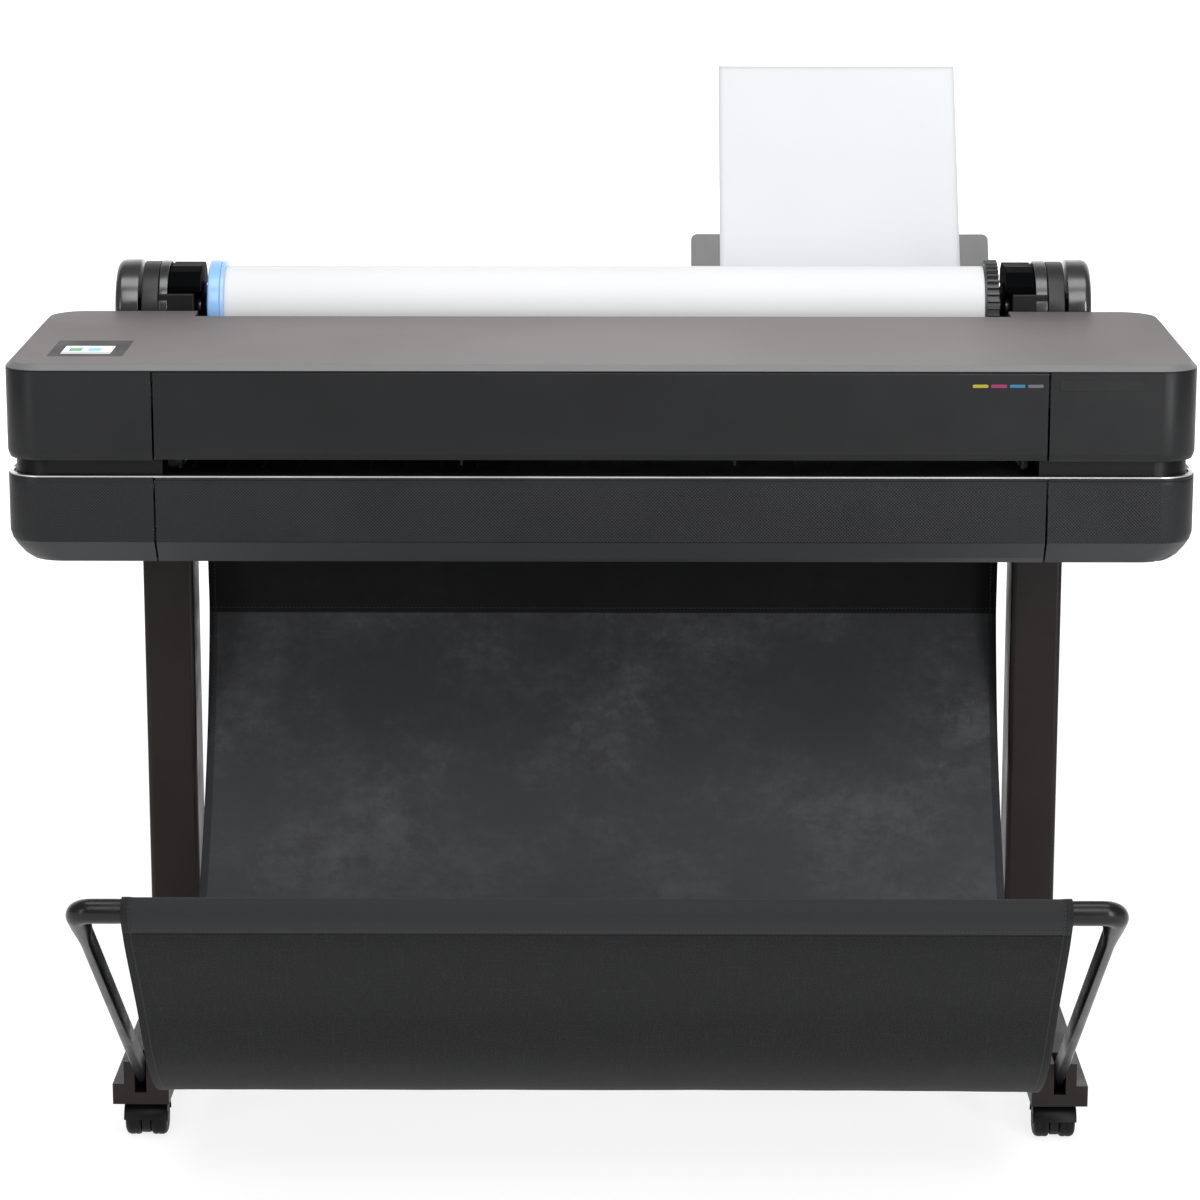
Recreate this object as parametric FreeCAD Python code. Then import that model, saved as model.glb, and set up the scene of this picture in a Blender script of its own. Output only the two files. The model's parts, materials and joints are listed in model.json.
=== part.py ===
"""Large format plotter on a wheeled stand: casings, print mechanism, roll holder,
sheet support, stand with casters and a folding fabric basket.

Millimetres. +X to the right seen from the front, +Y to the rear, +Z up.
The geometry is laid out with Y = 0 on the front face and Z = 0 on the floor, and
is moved by Y_SHIFT on export so that the origin is under the middle of the box.
"""
import FreeCAD, Part
import math
import os

os.makedirs("parts", exist_ok=True)
V = FreeCAD.Vector

# ---------------------------------------------------------------- dimensions
Y_SHIFT = -106.1          # moves the layout so that the origin is mid depth

HALF_W = 658.5            # half width of the body
R_FRONT = 40.0            # plan corner radius, front
R_BACK = 45.0             # plan corner radius, back
WALL = 3.0                # moulded wall
LOW_Z0, LOW_Z1 = 646.0, 744.0    # lower unit
UP_Z0, UP_Z1 = 763.0, 862.0      # upper unit
LOW_DEPTH = 500.0
UP_DEPTH = 373.5
MID_DEPTH = 329.0         # rear edge of the top in front of the roll
MID_HALF = 482.0          # half width of the roll recess
SEAM_X = 492.5            # half distance between the two front seams
SEAM = 2.4                # seam width
TOP_Z = 869.6             # top edge behind the front bevel
TOP_SLOPE = 9.1 / 369.0   # the top rises to the back
BEVEL_H, BEVEL_W = 7.2, 6.0
NECK_IN = 8.0            # the band between the units is set back

LEG_X, LEG_W = 513.0, 59.0
LEG_Y0, LEG_Y1 = 268.0, 338.0
FOOT_X = 515.0
FOOT_Y0, FOOT_Y1 = -75.0, 530.0
FOOT_W, FOOT_TOP_W = 63.0, 37.0
FOOT_Z0, FOOT_Z1, FOOT_Z2 = 43.0, 67.0, 93.0
CASTER_X = 511.0
CASTER_Y = (-38.0, 492.0)
WHEEL_R = 20.0
WHEEL_TRAIL = 12.0

PIVOT_Y, PIVOT_Z = -55.0, 73.0   # basket hinge
BAR_Y, BAR_Z, BAR_R = -487.0, 394.0, 12.0
BAR_HALF = 510.0
ARM_X0, ARM_X1 = 509.0, 521.0
ARM_OUT = 8.0              # the arms splay outwards by this much at the bar
SOCKET_X1 = 534.0
ARM_W = 25.0

AXIS_Y, AXIS_Z = 433.0, 874.0    # roll axis
ROLL_R, ROLL_HALF = 50.0, 456.0
FLANGE_R = 57.0
FL_X0, FL_X1 = 456.5, 472.5
SPINDLE_R = 12.0
RUN = 0.05                # running clearance on a radius
GEAR_TEETH, PINION_TEETH = 42, 14
GEAR_PR = 56.0
PINION_PR = GEAR_PR * PINION_TEETH / GEAR_TEETH
PINION_Y = AXIS_Y - 26.0
PINION_Z = AXIS_Z - math.sqrt((GEAR_PR + PINION_PR) ** 2 - 26.0 ** 2)

FEED_Y, FEED_Z, FEED_R = 175.0, 729.5, 14.0
PINCH_Z, PINCH_R = 751.7, 7.8
RAIL_Y0, RAIL_Y1, RAIL_Z0, RAIL_Z1 = 200.0, 212.0, 790.0, 830.0
RAIL_X0, RAIL_X1 = -589.0, 630.0
CARR_X, CARR_HALF = 578.0, 50.0   # parked position of the carriage
BELT_Z, BELT_R = 812.0, 10.0
PULLEY_XA, PULLEY_XB = -570.0, 616.0

SHEET_LEAN = math.radians(33.0)   # lean of the sheet from upright
SHEET_Y, SHEET_Z = 483.0, 790.0   # lower edge of the sheet
SHEET_X, SHEET_W, SHEET_L = 292.0, 297.0, 420.0
SUPPORT_W, SUPPORT_L = 368.0, 186.0

DOOR_AX_Y, DOOR_AX_Z = 24.0, 649.0
COVER_R = 2.0
COVER_AX_Y, COVER_AX_Z = COVER_R, 859.6

saved = []


# ------------------------------------------------------------------- helpers
def box(x0, x1, y0, y1, z0, z1):
    return Part.makeBox(x1 - x0, y1 - y0, z1 - z0, V(x0, y0, z0))


def cyl_x(x0, x1, y, z, r):
    return Part.makeCylinder(r, x1 - x0, V(x0, y, z), V(1, 0, 0))


def cyl_y(y0, y1, x, z, r):
    return Part.makeCylinder(r, y1 - y0, V(x, y0, z), V(0, 1, 0))


def cyl_z(z0, z1, x, y, r):
    return Part.makeCylinder(r, z1 - z0, V(x, y, z0), V(0, 0, 1))


def prism_yz(pts, x0, x1):
    """Polygon given as (y, z) pairs, extruded along X."""
    w = Part.makePolygon([V(x0, p[0], p[1]) for p in pts] + [V(x0, *pts[0])])
    return Part.Face(w).extrude(V(x1 - x0, 0, 0))


def prism_xz(pts, y0, y1):
    w = Part.makePolygon([V(p[0], y0, p[1]) for p in pts] + [V(pts[0][0], y0, pts[0][1])])
    return Part.Face(w).extrude(V(0, y1 - y0, 0))


def plate_along(pts, thick):
    """Closed (y, z) outline of a plate of even thickness that follows a line."""
    n = len(pts)
    left, right = [], []
    for i in range(n):
        if i == 0:
            d = V(pts[1][0] - pts[0][0], pts[1][1] - pts[0][1], 0)
            d.normalize()
            nx, ny, k = -d.y, d.x, 1.0
        elif i == n - 1:
            d = V(pts[-1][0] - pts[-2][0], pts[-1][1] - pts[-2][1], 0)
            d.normalize()
            nx, ny, k = -d.y, d.x, 1.0
        else:
            a = V(pts[i][0] - pts[i - 1][0], pts[i][1] - pts[i - 1][1], 0)
            b = V(pts[i + 1][0] - pts[i][0], pts[i + 1][1] - pts[i][1], 0)
            a.normalize()
            b.normalize()
            m = V(-a.y - b.y, a.x + b.x, 0)
            m.normalize()
            k = 1.0 / max(0.3, m.x * -a.y + m.y * a.x)
            nx, ny = m.x, m.y
        h = thick / 2.0 * k
        left.append((pts[i][0] + nx * h, pts[i][1] + ny * h))
        right.append((pts[i][0] - nx * h, pts[i][1] - ny * h))
    return left + right[::-1]


def plan_wire(z, side, front, back_y, back_in=0.0, side_half=HALF_W):
    """Rounded rectangle at height z, pulled in by side and front."""
    x = side_half - side
    y0, y1 = front, back_y - back_in
    rf, rb = R_FRONT, R_BACK
    c = math.sqrt(0.5)
    pts = []
    edges = []

    def line(a, b):
        edges.append(Part.LineSegment(a, b).toShape())

    def arc(a, m, b):
        edges.append(Part.Arc(a, m, b).toShape())

    line(V(-x + rf, y0, z), V(x - rf, y0, z))
    arc(V(x - rf, y0, z), V(x - rf + rf * c, y0 + rf - rf * c, z), V(x, y0 + rf, z))
    line(V(x, y0 + rf, z), V(x, y1 - rb, z))
    arc(V(x, y1 - rb, z), V(x - rb + rb * c, y1 - rb + rb * c, z), V(x - rb, y1, z))
    line(V(x - rb, y1, z), V(-x + rb, y1, z))
    arc(V(-x + rb, y1, z), V(-x + rb - rb * c, y1 - rb + rb * c, z), V(-x, y1 - rb, z))
    line(V(-x, y1 - rb, z), V(-x, y0 + rf, z))
    arc(V(-x, y0 + rf, z), V(-x + rf - rf * c, y0 + rf - rf * c, z), V(-x + rf, y0, z))
    return Part.Wire(edges)


def loft(rows, back_y):
    return Part.makeLoft([plan_wire(z, s, f, back_y, b) for z, s, f, b in rows], True, True)


def plan_prism(z0, z1, inset, back_y, y_in=None):
    f = inset if y_in is None else y_in
    w = plan_wire(z0, inset, f, back_y, inset)
    return Part.Face(w).extrude(V(0, 0, z1 - z0))


def on_top(shape):
    """Moves a shape built on the plane z = 0 onto the sloping top."""
    s = shape.copy()
    s.rotate(V(0, 0, 0), V(1, 0, 0), math.degrees(math.atan(TOP_SLOPE)))
    s.translate(V(0, BEVEL_W, TOP_Z))
    return s


def mirror(shape):
    return shape.mirror(V(0, 0, 0), V(1, 0, 0))


def group(shapes):
    out = []
    for s in shapes:
        out += s.Solids
    return Part.makeCompound(out)


def save(name, shape):
    s = shape.copy()
    s.translate(V(0, Y_SHIFT, 0))
    solids = s.Solids
    if len(solids) == 1:
        s = solids[0]
    else:
        s = Part.makeCompound(solids)
    for q in solids:
        if not q.isValid() or q.Volume < 1.0:
            print("BAD", name, q.isValid(), q.Volume)
    s.exportStep("parts/%s.step" % name)
    saved.append(name)
    bb = s.BoundBox
    print("%-24s %2d solids  x %.1f..%.1f y %.1f..%.1f z %.1f..%.1f  vol %.0f" % (
        name, len(solids), bb.XMin, bb.XMax, bb.YMin, bb.YMax, bb.ZMin, bb.ZMax,
        sum(q.Volume for q in solids)))


def fuse(first, *rest):
    s = first
    for r in rest:
        s = s.fuse(r)
    return s.removeSplitter()


def gear(x0, x1, y, z, teeth, pitch_r, add, ded, half_tip, half_root, phase, bore):
    """Spur gear along X with straight flanks; half_* are fractions of the pitch angle."""
    step = 2 * math.pi / teeth
    pts = []
    for i in range(teeth):
        a = phase + i * step
        for da, r in ((-half_root, pitch_r - ded), (-half_tip, pitch_r + add),
                      (half_tip, pitch_r + add), (half_root, pitch_r - ded)):
            pts.append((y + r * math.cos(a + da * step), z + r * math.sin(a + da * step)))
    g = prism_yz(pts, x0, x1)
    if bore > 0:
        g = g.cut(cyl_x(x0 - 1, x1 + 1, y, z, bore))
    return g


# ==================================================================== stand
def foot(sign):
    x = FOOT_X
    h = FOOT_W / 2
    base = box(x - h, x + h, FOOT_Y0, FOOT_Y1, FOOT_Z0, FOOT_Z1)
    up = box(x - FOOT_TOP_W / 2, x + FOOT_TOP_W / 2, FOOT_Y0, FOOT_Y1, FOOT_Z1, FOOT_Z2)
    # the rear of the upper rib runs down to the base
    up = up.cut(prism_yz([(430, FOOT_Z2 + 1), (FOOT_Y1 + 1, FOOT_Z2 + 1), (FOOT_Y1 + 1, FOOT_Z1 + 4)],
                         x - 30, x + 30))
    s = fuse(base, up)
    # slot for the basket arm, open to the front and the top
    s = s.cut(box(x - 6.6, x + 6.6, FOOT_Y0 - 1, PIVOT_Y + 20, PIVOT_Z - 16, FOOT_Z2 + 1))
    s = s.cut(cyl_x(x - 40, x + 40, PIVOT_Y, PIVOT_Z, 4.0))
    for cy in CASTER_Y:
        s = s.cut(cyl_z(FOOT_Z0 - 1, FOOT_Z0 + 10.5, CASTER_X, cy, 5.0 + RUN))
    return s if sign > 0 else mirror(s)


save("left_foot", foot(-1))
save("right_foot", foot(1))


def leg(sign):
    x0, x1 = LEG_X - LEG_W / 2, LEG_X + LEG_W / 2
    s = box(x0, x1, LEG_Y0, LEG_Y1, FOOT_Z2, LOW_Z0)
    edges = [e for e in s.Edges if abs(e.Vertexes[0].Point.z - e.Vertexes[-1].Point.z) > 100]
    s = s.makeFillet(6.0, edges)
    s = s.cut(box(x0 + 2.5, x1 - 2.5, LEG_Y0 + 2.5, LEG_Y1 - 2.5, FOOT_Z2 + 4, LOW_Z0 - 4))
    return s if sign > 0 else mirror(s)


save("left_leg", leg(-1))
save("right_leg", leg(1))

BRACE_HALF = LEG_X - LEG_W / 2
brace = box(-BRACE_HALF, BRACE_HALF, 285, 321, 118, 168)
brace = brace.cut(box(-BRACE_HALF + 4, BRACE_HALF - 4, 287.5, 318.5, 120.5, 165.5))
save("stand_cross_brace", brace)

fasteners = []
for sg in (-1, 1):
    # hinge pins of the basket, held in the feet
    fasteners.append(cyl_x(sg * FOOT_X - FOOT_TOP_W / 2 - 1.5, sg * FOOT_X + FOOT_TOP_W / 2 + 1.5,
                           PIVOT_Y, PIVOT_Z, 4.0))
    # button-head screws in the outer face of each leg
    for z in (112.0, 140.0, 606.0, 630.0):
        xo = sg * (LEG_X + LEG_W / 2)
        a, b = (xo, xo + 2.2) if sg > 0 else (xo - 2.2, xo)
        fasteners.append(cyl_x(a, b, 303.0, z, 5.5).cut(
            cyl_x(a if sg < 0 else b - 1.2, a + 1.2 if sg < 0 else b, 303.0, z, 2.2)))
save("stand_fasteners", group(fasteners))


def caster(cx, cy, way):
    """way +1 leads the wheel to the rear, -1 to the front."""
    wy = cy + way * WHEEL_TRAIL
    stem = cyl_z(FOOT_Z0 - 1, FOOT_Z0 + 10, cx, cy, 5.0)
    plate = cyl_z(FOOT_Z0 - 2.5, FOOT_Z0 - 0.4, cx, cy, 15.0)
    # hood between the two wheels with a brake tab moulded on it
    hood = cyl_x(cx - 5.0, cx + 5.0, wy, WHEEL_R, 18.6)
    web = box(cx - 5.0, cx + 5.0, min(cy, wy) - 8, max(cy, wy) + 8, WHEEL_R + 4, FOOT_Z0 - 1.5)
    f = fuse(plate, stem, web, hood)
    f = f.cut(cyl_x(cx - 30, cx + 30, wy, WHEEL_R, 4.0 + RUN))
    w = []
    for a, b in ((cx - 23.5, cx - 5.5), (cx + 5.5, cx + 23.5)):
        d = cyl_x(a, b, wy, WHEEL_R, WHEEL_R)
        ed = [e for e in d.Edges if abs(e.Length - 2 * math.pi * WHEEL_R) < 1]
        d = d.makeFillet(3.0, ed)
        w.append(d)
    wheels = fuse(w[0], w[1], cyl_x(cx - 10, cx + 10, wy, WHEEL_R, 4.0))
    return f, wheels


for sg, side in ((-1, "left"), (1, "right")):
    for k, (cy, end) in enumerate(zip(CASTER_Y, ("front", "rear"))):
        f, w = caster(sg * CASTER_X, cy, -1 if k == 0 else 1)
        save("%s_%s_caster_fork" % (side, end), f)
        save("%s_%s_caster_wheels" % (side, end), w)

# =================================================================== basket
bar = cyl_x(-BAR_HALF, BAR_HALF, BAR_Y, BAR_Z, BAR_R)
bar = bar.cut(cyl_x(-BAR_HALF + 2, BAR_HALF - 2, BAR_Y, BAR_Z, BAR_R - 1.5))
save("basket_bar", bar)


def arm(sign):
    dy, dz = BAR_Y - PIVOT_Y, BAR_Z - PIVOT_Z
    ln = math.hypot(dy, dz)
    uy, uz = dy / ln, dz / ln
    ny, nz = -uz, uy
    h = ARM_W / 2

    def section(t, dx):
        y, z = PIVOT_Y + uy * t, PIVOT_Z + uz * t
        q = [V(ARM_X0 + dx, y + ny * h, z + nz * h), V(ARM_X1 + dx, y + ny * h, z + nz * h),
             V(ARM_X1 + dx, y - ny * h, z - nz * h), V(ARM_X0 + dx, y - ny * h, z - nz * h)]
        return Part.makePolygon(q + q[:1])

    # straight inside the foot, then splayed towards the bar
    blade = Part.makeLoft([section(0, 0), section(60, 0), section(ln, ARM_OUT)], True, True)
    s = fuse(blade, cyl_x(ARM_X0, ARM_X1, PIVOT_Y, PIVOT_Z, h),
             cyl_x(BAR_HALF, SOCKET_X1, BAR_Y, BAR_Z, 13.0))
    s = s.cut(cyl_x(ARM_X0 - 1, ARM_X1 + 1, PIVOT_Y, PIVOT_Z, 4.0 + RUN))
    return s if sign > 0 else mirror(s)


save("basket_arms", group([arm(-1), arm(1)]))

ROD_Y, ROD_Z = 330.0, 632.0
save("basket_rear_rod", cyl_x(-BRACE_HALF, BRACE_HALF, ROD_Y, ROD_Z, 6.0))

FAB_T = 3.0
FAB_HALF = 472.0
rear_line = [(ROD_Y + 6, 624.5), (343, 520), (302, 400), (240, 300), (170, 215), (90, 142), (0, 105), (-46, 97)]
front_line = [(-72, 95.5), (-150, 98), (-245, 122), (-325, 176), (-400, 268), (-466, 365), (-478, 380.5)]
save("basket_rear_fabric", prism_yz(plate_along(rear_line, FAB_T), -FAB_HALF, FAB_HALF))
save("basket_front_fabric", prism_yz(plate_along(front_line, FAB_T), -FAB_HALF, FAB_HALF))

# ==================================================================== body
low_rows = [(646, 21, 20, 10), (652, 13.5, 15.4, 6), (663, 6.5, 6.9, 2), (672, 2.5, 0, 0), (680, 0, 0, 0), (741, 0, 0, 0)]
low_out = loft(low_rows, LOW_DEPTH)
low_in = loft([(649, 21 + 3, 20 + 3, 13), (655, 13.5 + 3, 15.4 + 3, 9), (665, 6.5 + 3, 6.9 + 3, 5),
               (673, 2.5 + 3, 3, 3), (680, 3, 3, 3), (742, 3, 3, 3)], LOW_DEPTH)
low_shell = low_out.cut(low_in)
a, b = SEAM_X - SEAM / 2, SEAM_X + SEAM / 2
deck_z0 = 741.0


def neck_band(sign):
    """Set-back band between the two units, turned in at the paper exit."""
    o = Part.Face(plan_wire(LOW_Z1, NECK_IN, NECK_IN, UP_DEPTH, NECK_IN)).extrude(V(0, 0, UP_Z0 - LOW_Z1))
    i = Part.Face(plan_wire(LOW_Z1 - 1, NECK_IN + 3, NECK_IN + 3, UP_DEPTH, NECK_IN + 3)).extrude(V(0, 0, 30))
    n = o.cut(i).common(box(483.5, 700, -10, 500, 700, 800))
    n = fuse(n, box(483.5, 486.5, NECK_IN, 60, LOW_Z1, UP_Z0))
    return n if sign > 0 else mirror(n)


def deck(x0, x1, y1=LOW_DEPTH):
    d = plan_prism(deck_z0, LOW_Z1, 0.0, LOW_DEPTH)
    d = d.cut(plan_prism(deck_z0 - 1, LOW_Z1 + 1, 20.0, UP_DEPTH - 2))
    return d.common(box(x0, x1, -10, y1, 700, 800))


left_low = low_shell.common(box(-700, -b, -10, 600, 600, 800))
left_low = fuse(left_low, deck(-700, -b), neck_band(-1))
save("left_lower_cover", left_low)

right_low = low_shell.common(box(b, 700, DOOR_AX_Y + 0.8, 600, 600, 800))
right_low = right_low.cut(box(b - 1, 700, -10, DOOR_AX_Y + 3.6, 640, 653.5))
right_low = fuse(right_low, deck(b, 700), neck_band(1))
save("right_lower_cover", right_low)

door = low_shell.common(box(b, 700, -10, DOOR_AX_Y, 600, 740.5))
door = fuse(door, cyl_x(b + 4, 612, DOOR_AX_Y, DOOR_AX_Z, 3.0))
door = door.cut(cyl_x(b - 1, b + 16, DOOR_AX_Y, DOOR_AX_Z, 1.2))
save("cartridge_door", door)

low_front = low_shell.common(box(-a, a, -10, 60, 600, 740.7))
low_front = fuse(low_front, box(-a, a, 0.8, 60, deck_z0, LOW_Z1), box(-a, a, 2.0, 6.0, 725, deck_z0 + 1))
save("lower_front_cover", low_front)

strip_out = plan_prism(LOW_Z1, LOW_Z1 + 1.6, 1.0, LOW_DEPTH)
strip_in = plan_prism(LOW_Z1 - 1, LOW_Z1 + 5, 5.0, LOW_DEPTH)
strip = strip_out.cut(strip_in).common(box(-700, 700, -10, 60, 700, 800))
save("exit_strip", strip)

# upper covers: everything below the rim
up_rows = [(763, 2.6, 1.2, 0), (767, 0.9, 0.6, 0), (771, 0, 0, 0), (UP_Z1 - 0.4, 0, 0, 0)]
up_out = loft(up_rows, UP_DEPTH)
up_in = loft([(766, 5, 4, 3), (768, 3.8, 3.5, 3), (772, 3, 3, 3), (UP_Z1 + 1, 3, 3, 3)], UP_DEPTH)
up_shell = up_out.cut(up_in).cut(plan_prism(762, 768, 24.0, UP_DEPTH - 2))
# blind holes for the pins of the front cover
up_shell = up_shell.cut(cyl_x(-b - 3.0, -b + 1, COVER_AX_Y, COVER_AX_Z, 1.05))
up_shell = up_shell.cut(cyl_x(b - 1, b + 3.0, COVER_AX_Y, COVER_AX_Z, 1.05))
save("left_upper_cover", up_shell.common(box(-700, -b, -10, 600, 700, 900)))
save("right_upper_cover", up_shell.common(box(b, 700, -10, 600, 700, 900)))

# centre front cover, hinged along its top edge
prof = [(1.2, 764.0), (0, 771.0), (0, COVER_AX_Z), (3.6, COVER_AX_Z), (3.6, 767.5), (20, 767.5), (20, 764.0)]
cover = fuse(prism_yz(prof, -a, a), cyl_x(-a, a, COVER_AX_Y, COVER_AX_Z, COVER_R))
cover = fuse(cover, cyl_x(-a - 3.5, -a, COVER_AX_Y, COVER_AX_Z, 0.8), cyl_x(a, a + 3.5, COVER_AX_Y, COVER_AX_Z, 0.8))
for xr in (-150.0, 150.0, 0.0, -350.0, 350.0):
    cover = cover.fuse(box(xr - 1.2, xr + 1.2, 3.6, 12, 767.5, 845))
save("front_access_cover", cover.removeSplitter())

# top: a rim with a bevel, and the panel let into it
recess = box(-MID_HALF, MID_HALF, MID_DEPTH, 600, 800, 950)


def local_plan(z0, z1, inset, depth):
    """Plan prism in the frame of the sloping top."""
    p = plan_prism(z0, z1, inset, depth)
    p.translate(V(0, -BEVEL_W, 0))
    return p


rim = local_plan(-32.0, 0.0, 0.0, UP_DEPTH)
top_edges = [e for e in rim.Edges if abs(e.BoundBox.ZMin) < 1e-4 and abs(e.BoundBox.ZMax) < 1e-4]
rim = rim.makeChamfer(6.4, top_edges)
rim = rim.cut(local_plan(-3.0, 10.0, 6.4, UP_DEPTH))
rim = rim.cut(local_plan(-40.0, 10.0, 16.0, UP_DEPTH))
rim = on_top(rim)
lip = box(-MID_HALF - 8, MID_HALF + 8, MID_DEPTH - 8, UP_DEPTH - 10, UP_Z1, 950)
lip = lip.cut(on_top(box(-800, 800, -100, 600, -3.0, 200)))
rim = rim.cut(box(-800, 800, -100, 600, 700, UP_Z1)).fuse(lip).cut(recess)
save("top_rim", rim.removeSplitter())



def tablet(x0, x1, y0, y1, z0, z1, r):
    """Flat block with four rounded corners, in the frame of the sloping top."""
    t = box(x0, x1, y0, y1, z0, z1)
    ve = [e for e in t.Edges if abs(e.Vertexes[0].Point.z - e.Vertexes[-1].Point.z) > 1]
    return t.makeFillet(r, ve)


# the display is let into the panel, a shade below its face
panel = local_plan(-3.0, 0.0, 6.4, UP_DEPTH)
panel = panel.cut(tablet(-615.3, -531.2, 48.7, 151.3, -1.8, 2.0, 3.3))
save("top_panel", on_top(panel).cut(recess))

bez = tablet(-615, -531.5, 49, 151, -1.8, -0.1, 3.0).cut(box(-603, -547, 65, 118, -0.9, 3))
save("display_bezel", on_top(bez))
save("display_screen", on_top(box(-602.8, -547.2, 65.2, 117.8, -0.9, -0.3)))

# rear cover: trough under the roll, slot for single sheets, back wall
top_mid = TOP_Z + (MID_DEPTH - BEVEL_W) * TOP_SLOPE
trough = [(MID_DEPTH + 1.7, UP_Z1 - 0.5), (345, 832), (366, 806), (398, 790), (433, 785), (462, 787), (472, 792)]
TROUGH_HALF = 484.4
plate = prism_yz(plate_along(trough, 3.0), -TROUGH_HALF, TROUGH_HALF)
back_wall = box(-a, a, LOW_DEPTH - 8, LOW_DEPTH - 4, 652, 797)
shelf = box(-TROUGH_HALF, TROUGH_HALF, 470.0, LOW_DEPTH - 8, 770, 773)
back_lip = box(-TROUGH_HALF, TROUGH_HALF, 470.0, 473.0, 773, 791.5)
rear = fuse(back_wall, shelf, back_lip)
rear = rear.fuse(plate.cut(box(-700, 700, 470.5, 600, 700, 900))).removeSplitter()
rear = rear.cut(box(SHEET_X - 190, SHEET_X + 190, 473.0, LOW_DEPTH - 8, 773, 800))
rear = rear.cut(box(452, 478, PINION_Y - 26, PINION_Y + 26, PINION_Z - 26, PINION_Z + 30))
save("rear_cover", rear)

# chassis: floor, end plates and the brackets of the feed roller
floor = box(-611, 611, 62, 445, 649, 651)
chassis = floor
for x0, x1 in ((RAIL_X0 - 3, RAIL_X0), (RAIL_X1, RAIL_X1 + 3)):
    if x0 > 0:
        pl = prism_yz([(80, 690), (80, 850), (300, 850), (300, 690)], x0, x1)
        pl = fuse(pl, box(608, x1, 80, 300, 688, 691), box(608, 611, 80, 300, 651, 691))
    else:
        pl = prism_yz([(80, 651), (80, 850), (300, 850), (300, 651)], x0, x1)
    chassis = fuse(chassis, pl)
for x0, x1 in ((-482, -479), (479, 482)):
    br = prism_yz([(150, 651), (150, 745), (161, 745), (161, 756.3), (196, 756.3), (196, 651)], x0, x1)
    br = br.cut(cyl_x(x0 - 1, x1 + 1, FEED_Y, FEED_Z, 8.0 + RUN))
    br = br.cut(cyl_x(x0 - 1, x1 + 1, FEED_Y, PINCH_Z, 3.0 + RUN))
    chassis = fuse(chassis, br)
save("base_chassis", chassis)

# ================================================================ mechanism
plat = box(-470, 470, 62, 152, 726, 741)
for i in range(24):
    xr = -460 + i * 40
    plat = plat.fuse(box(xr - 1, xr + 1, 66, 148, 741, 742.6))
save("platen", fuse(plat, box(-470, -455, 100, 130, 651, 726), box(455, 470, 100, 130, 651, 726)))

rail = box(RAIL_X0, RAIL_X1, RAIL_Y0, RAIL_Y1, RAIL_Z0, RAIL_Z1)
rail = fuse(rail, box(RAIL_X0, RAIL_X1, RAIL_Y1, 250, RAIL_Z0, RAIL_Z0 + 3))
save("carriage_rail", rail)

cx0, cx1 = CARR_X - CARR_HALF, CARR_X + CARR_HALF
car = box(cx0, cx1, 70, 160, 757, 848)
car = fuse(car, box(cx0, cx1, 160, RAIL_Y0 - 0.4, 776, 848),
           box(cx0, cx1, RAIL_Y0 - 0.4, 232, RAIL_Z1 + 0.4, 848),
           box(cx0 + 30, cx1 - 30, 225, 232, 800, RAIL_Z1 + 0.4),
           box(cx0 + 12, cx1 - 12, 84, 142, 748, 757))
save("print_carriage", car)

o = fuse(box(PULLEY_XA, PULLEY_XB, 216, 222, BELT_Z - BELT_R - 1.2, BELT_Z + BELT_R + 1.2),
         cyl_y(216, 222, PULLEY_XA, BELT_Z, BELT_R + 1.2), cyl_y(216, 222, PULLEY_XB, BELT_Z, BELT_R + 1.2))
i = fuse(box(PULLEY_XA, PULLEY_XB, 215, 223, BELT_Z - BELT_R, BELT_Z + BELT_R),
         cyl_y(215, 223, PULLEY_XA, BELT_Z, BELT_R), cyl_y(215, 223, PULLEY_XB, BELT_Z, BELT_R))
save("carriage_belt", o.cut(i))


def pulley(x, shaft_y1):
    p = fuse(cyl_y(215.2, 222.8, x, BELT_Z, BELT_R - 0.3), cyl_y(213.5, 215.2, x, BELT_Z, BELT_R - 2.5),
             cyl_y(222.8, shaft_y1, x, BELT_Z, 3.0))
    return p.cut(box(x - 1, x + 1, 213, 214.2, BELT_Z - 6, BELT_Z + 6))


save("belt_drive_pulley", pulley(PULLEY_XA, 240.0))
save("belt_idler_pulley", pulley(PULLEY_XB, 228.0))

# motor of the carriage behind its pulley, motor of the feed roller at the left
m1 = cyl_y(226.5, 268, PULLEY_XA, BELT_Z, 18.0).cut(cyl_y(226, 242, PULLEY_XA, BELT_Z, 3.0 + RUN))
m1 = m1.cut(box(-700, 700, 225, 251, RAIL_Z0 - 3, RAIL_Z0 + 3.4))
m2 = cyl_x(-560, -508, FEED_Y, FEED_Z, 21.0).cut(cyl_x(-530, -500, FEED_Y, FEED_Z, 6.0 + RUN))
foot2 = box(-555, -515, FEED_Y - 20, FEED_Y + 20, 651, FEED_Z - 16).cut(cyl_x(-600, -500, FEED_Y, FEED_Z, 21.0))
save("drive_motors", group([m1.Solids[0], fuse(m2, foot2)]))

feed = fuse(cyl_x(-476, 476, FEED_Y, FEED_Z, FEED_R), cyl_x(-505, 488, FEED_Y, FEED_Z, 8.0),
            cyl_x(-528, -505, FEED_Y, FEED_Z, 6.0))
feed = feed.cut(box(486, 489, FEED_Y - 1, FEED_Y + 1, FEED_Z - 9, FEED_Z + 9))
save("feed_roller", feed)

pinch = cyl_x(-486, 486, FEED_Y, PINCH_Z, 3.0)
for i in range(10):
    xc = -432 + i * 96
    pinch = pinch.fuse(cyl_x(xc - 22, xc + 22, FEED_Y, PINCH_Z, PINCH_R))
pinch = pinch.cut(box(484.8, 487, FEED_Y - 0.6, FEED_Y + 0.6, PINCH_Z - 4, PINCH_Z + 4))
save("pinch_rollers", pinch)

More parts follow.
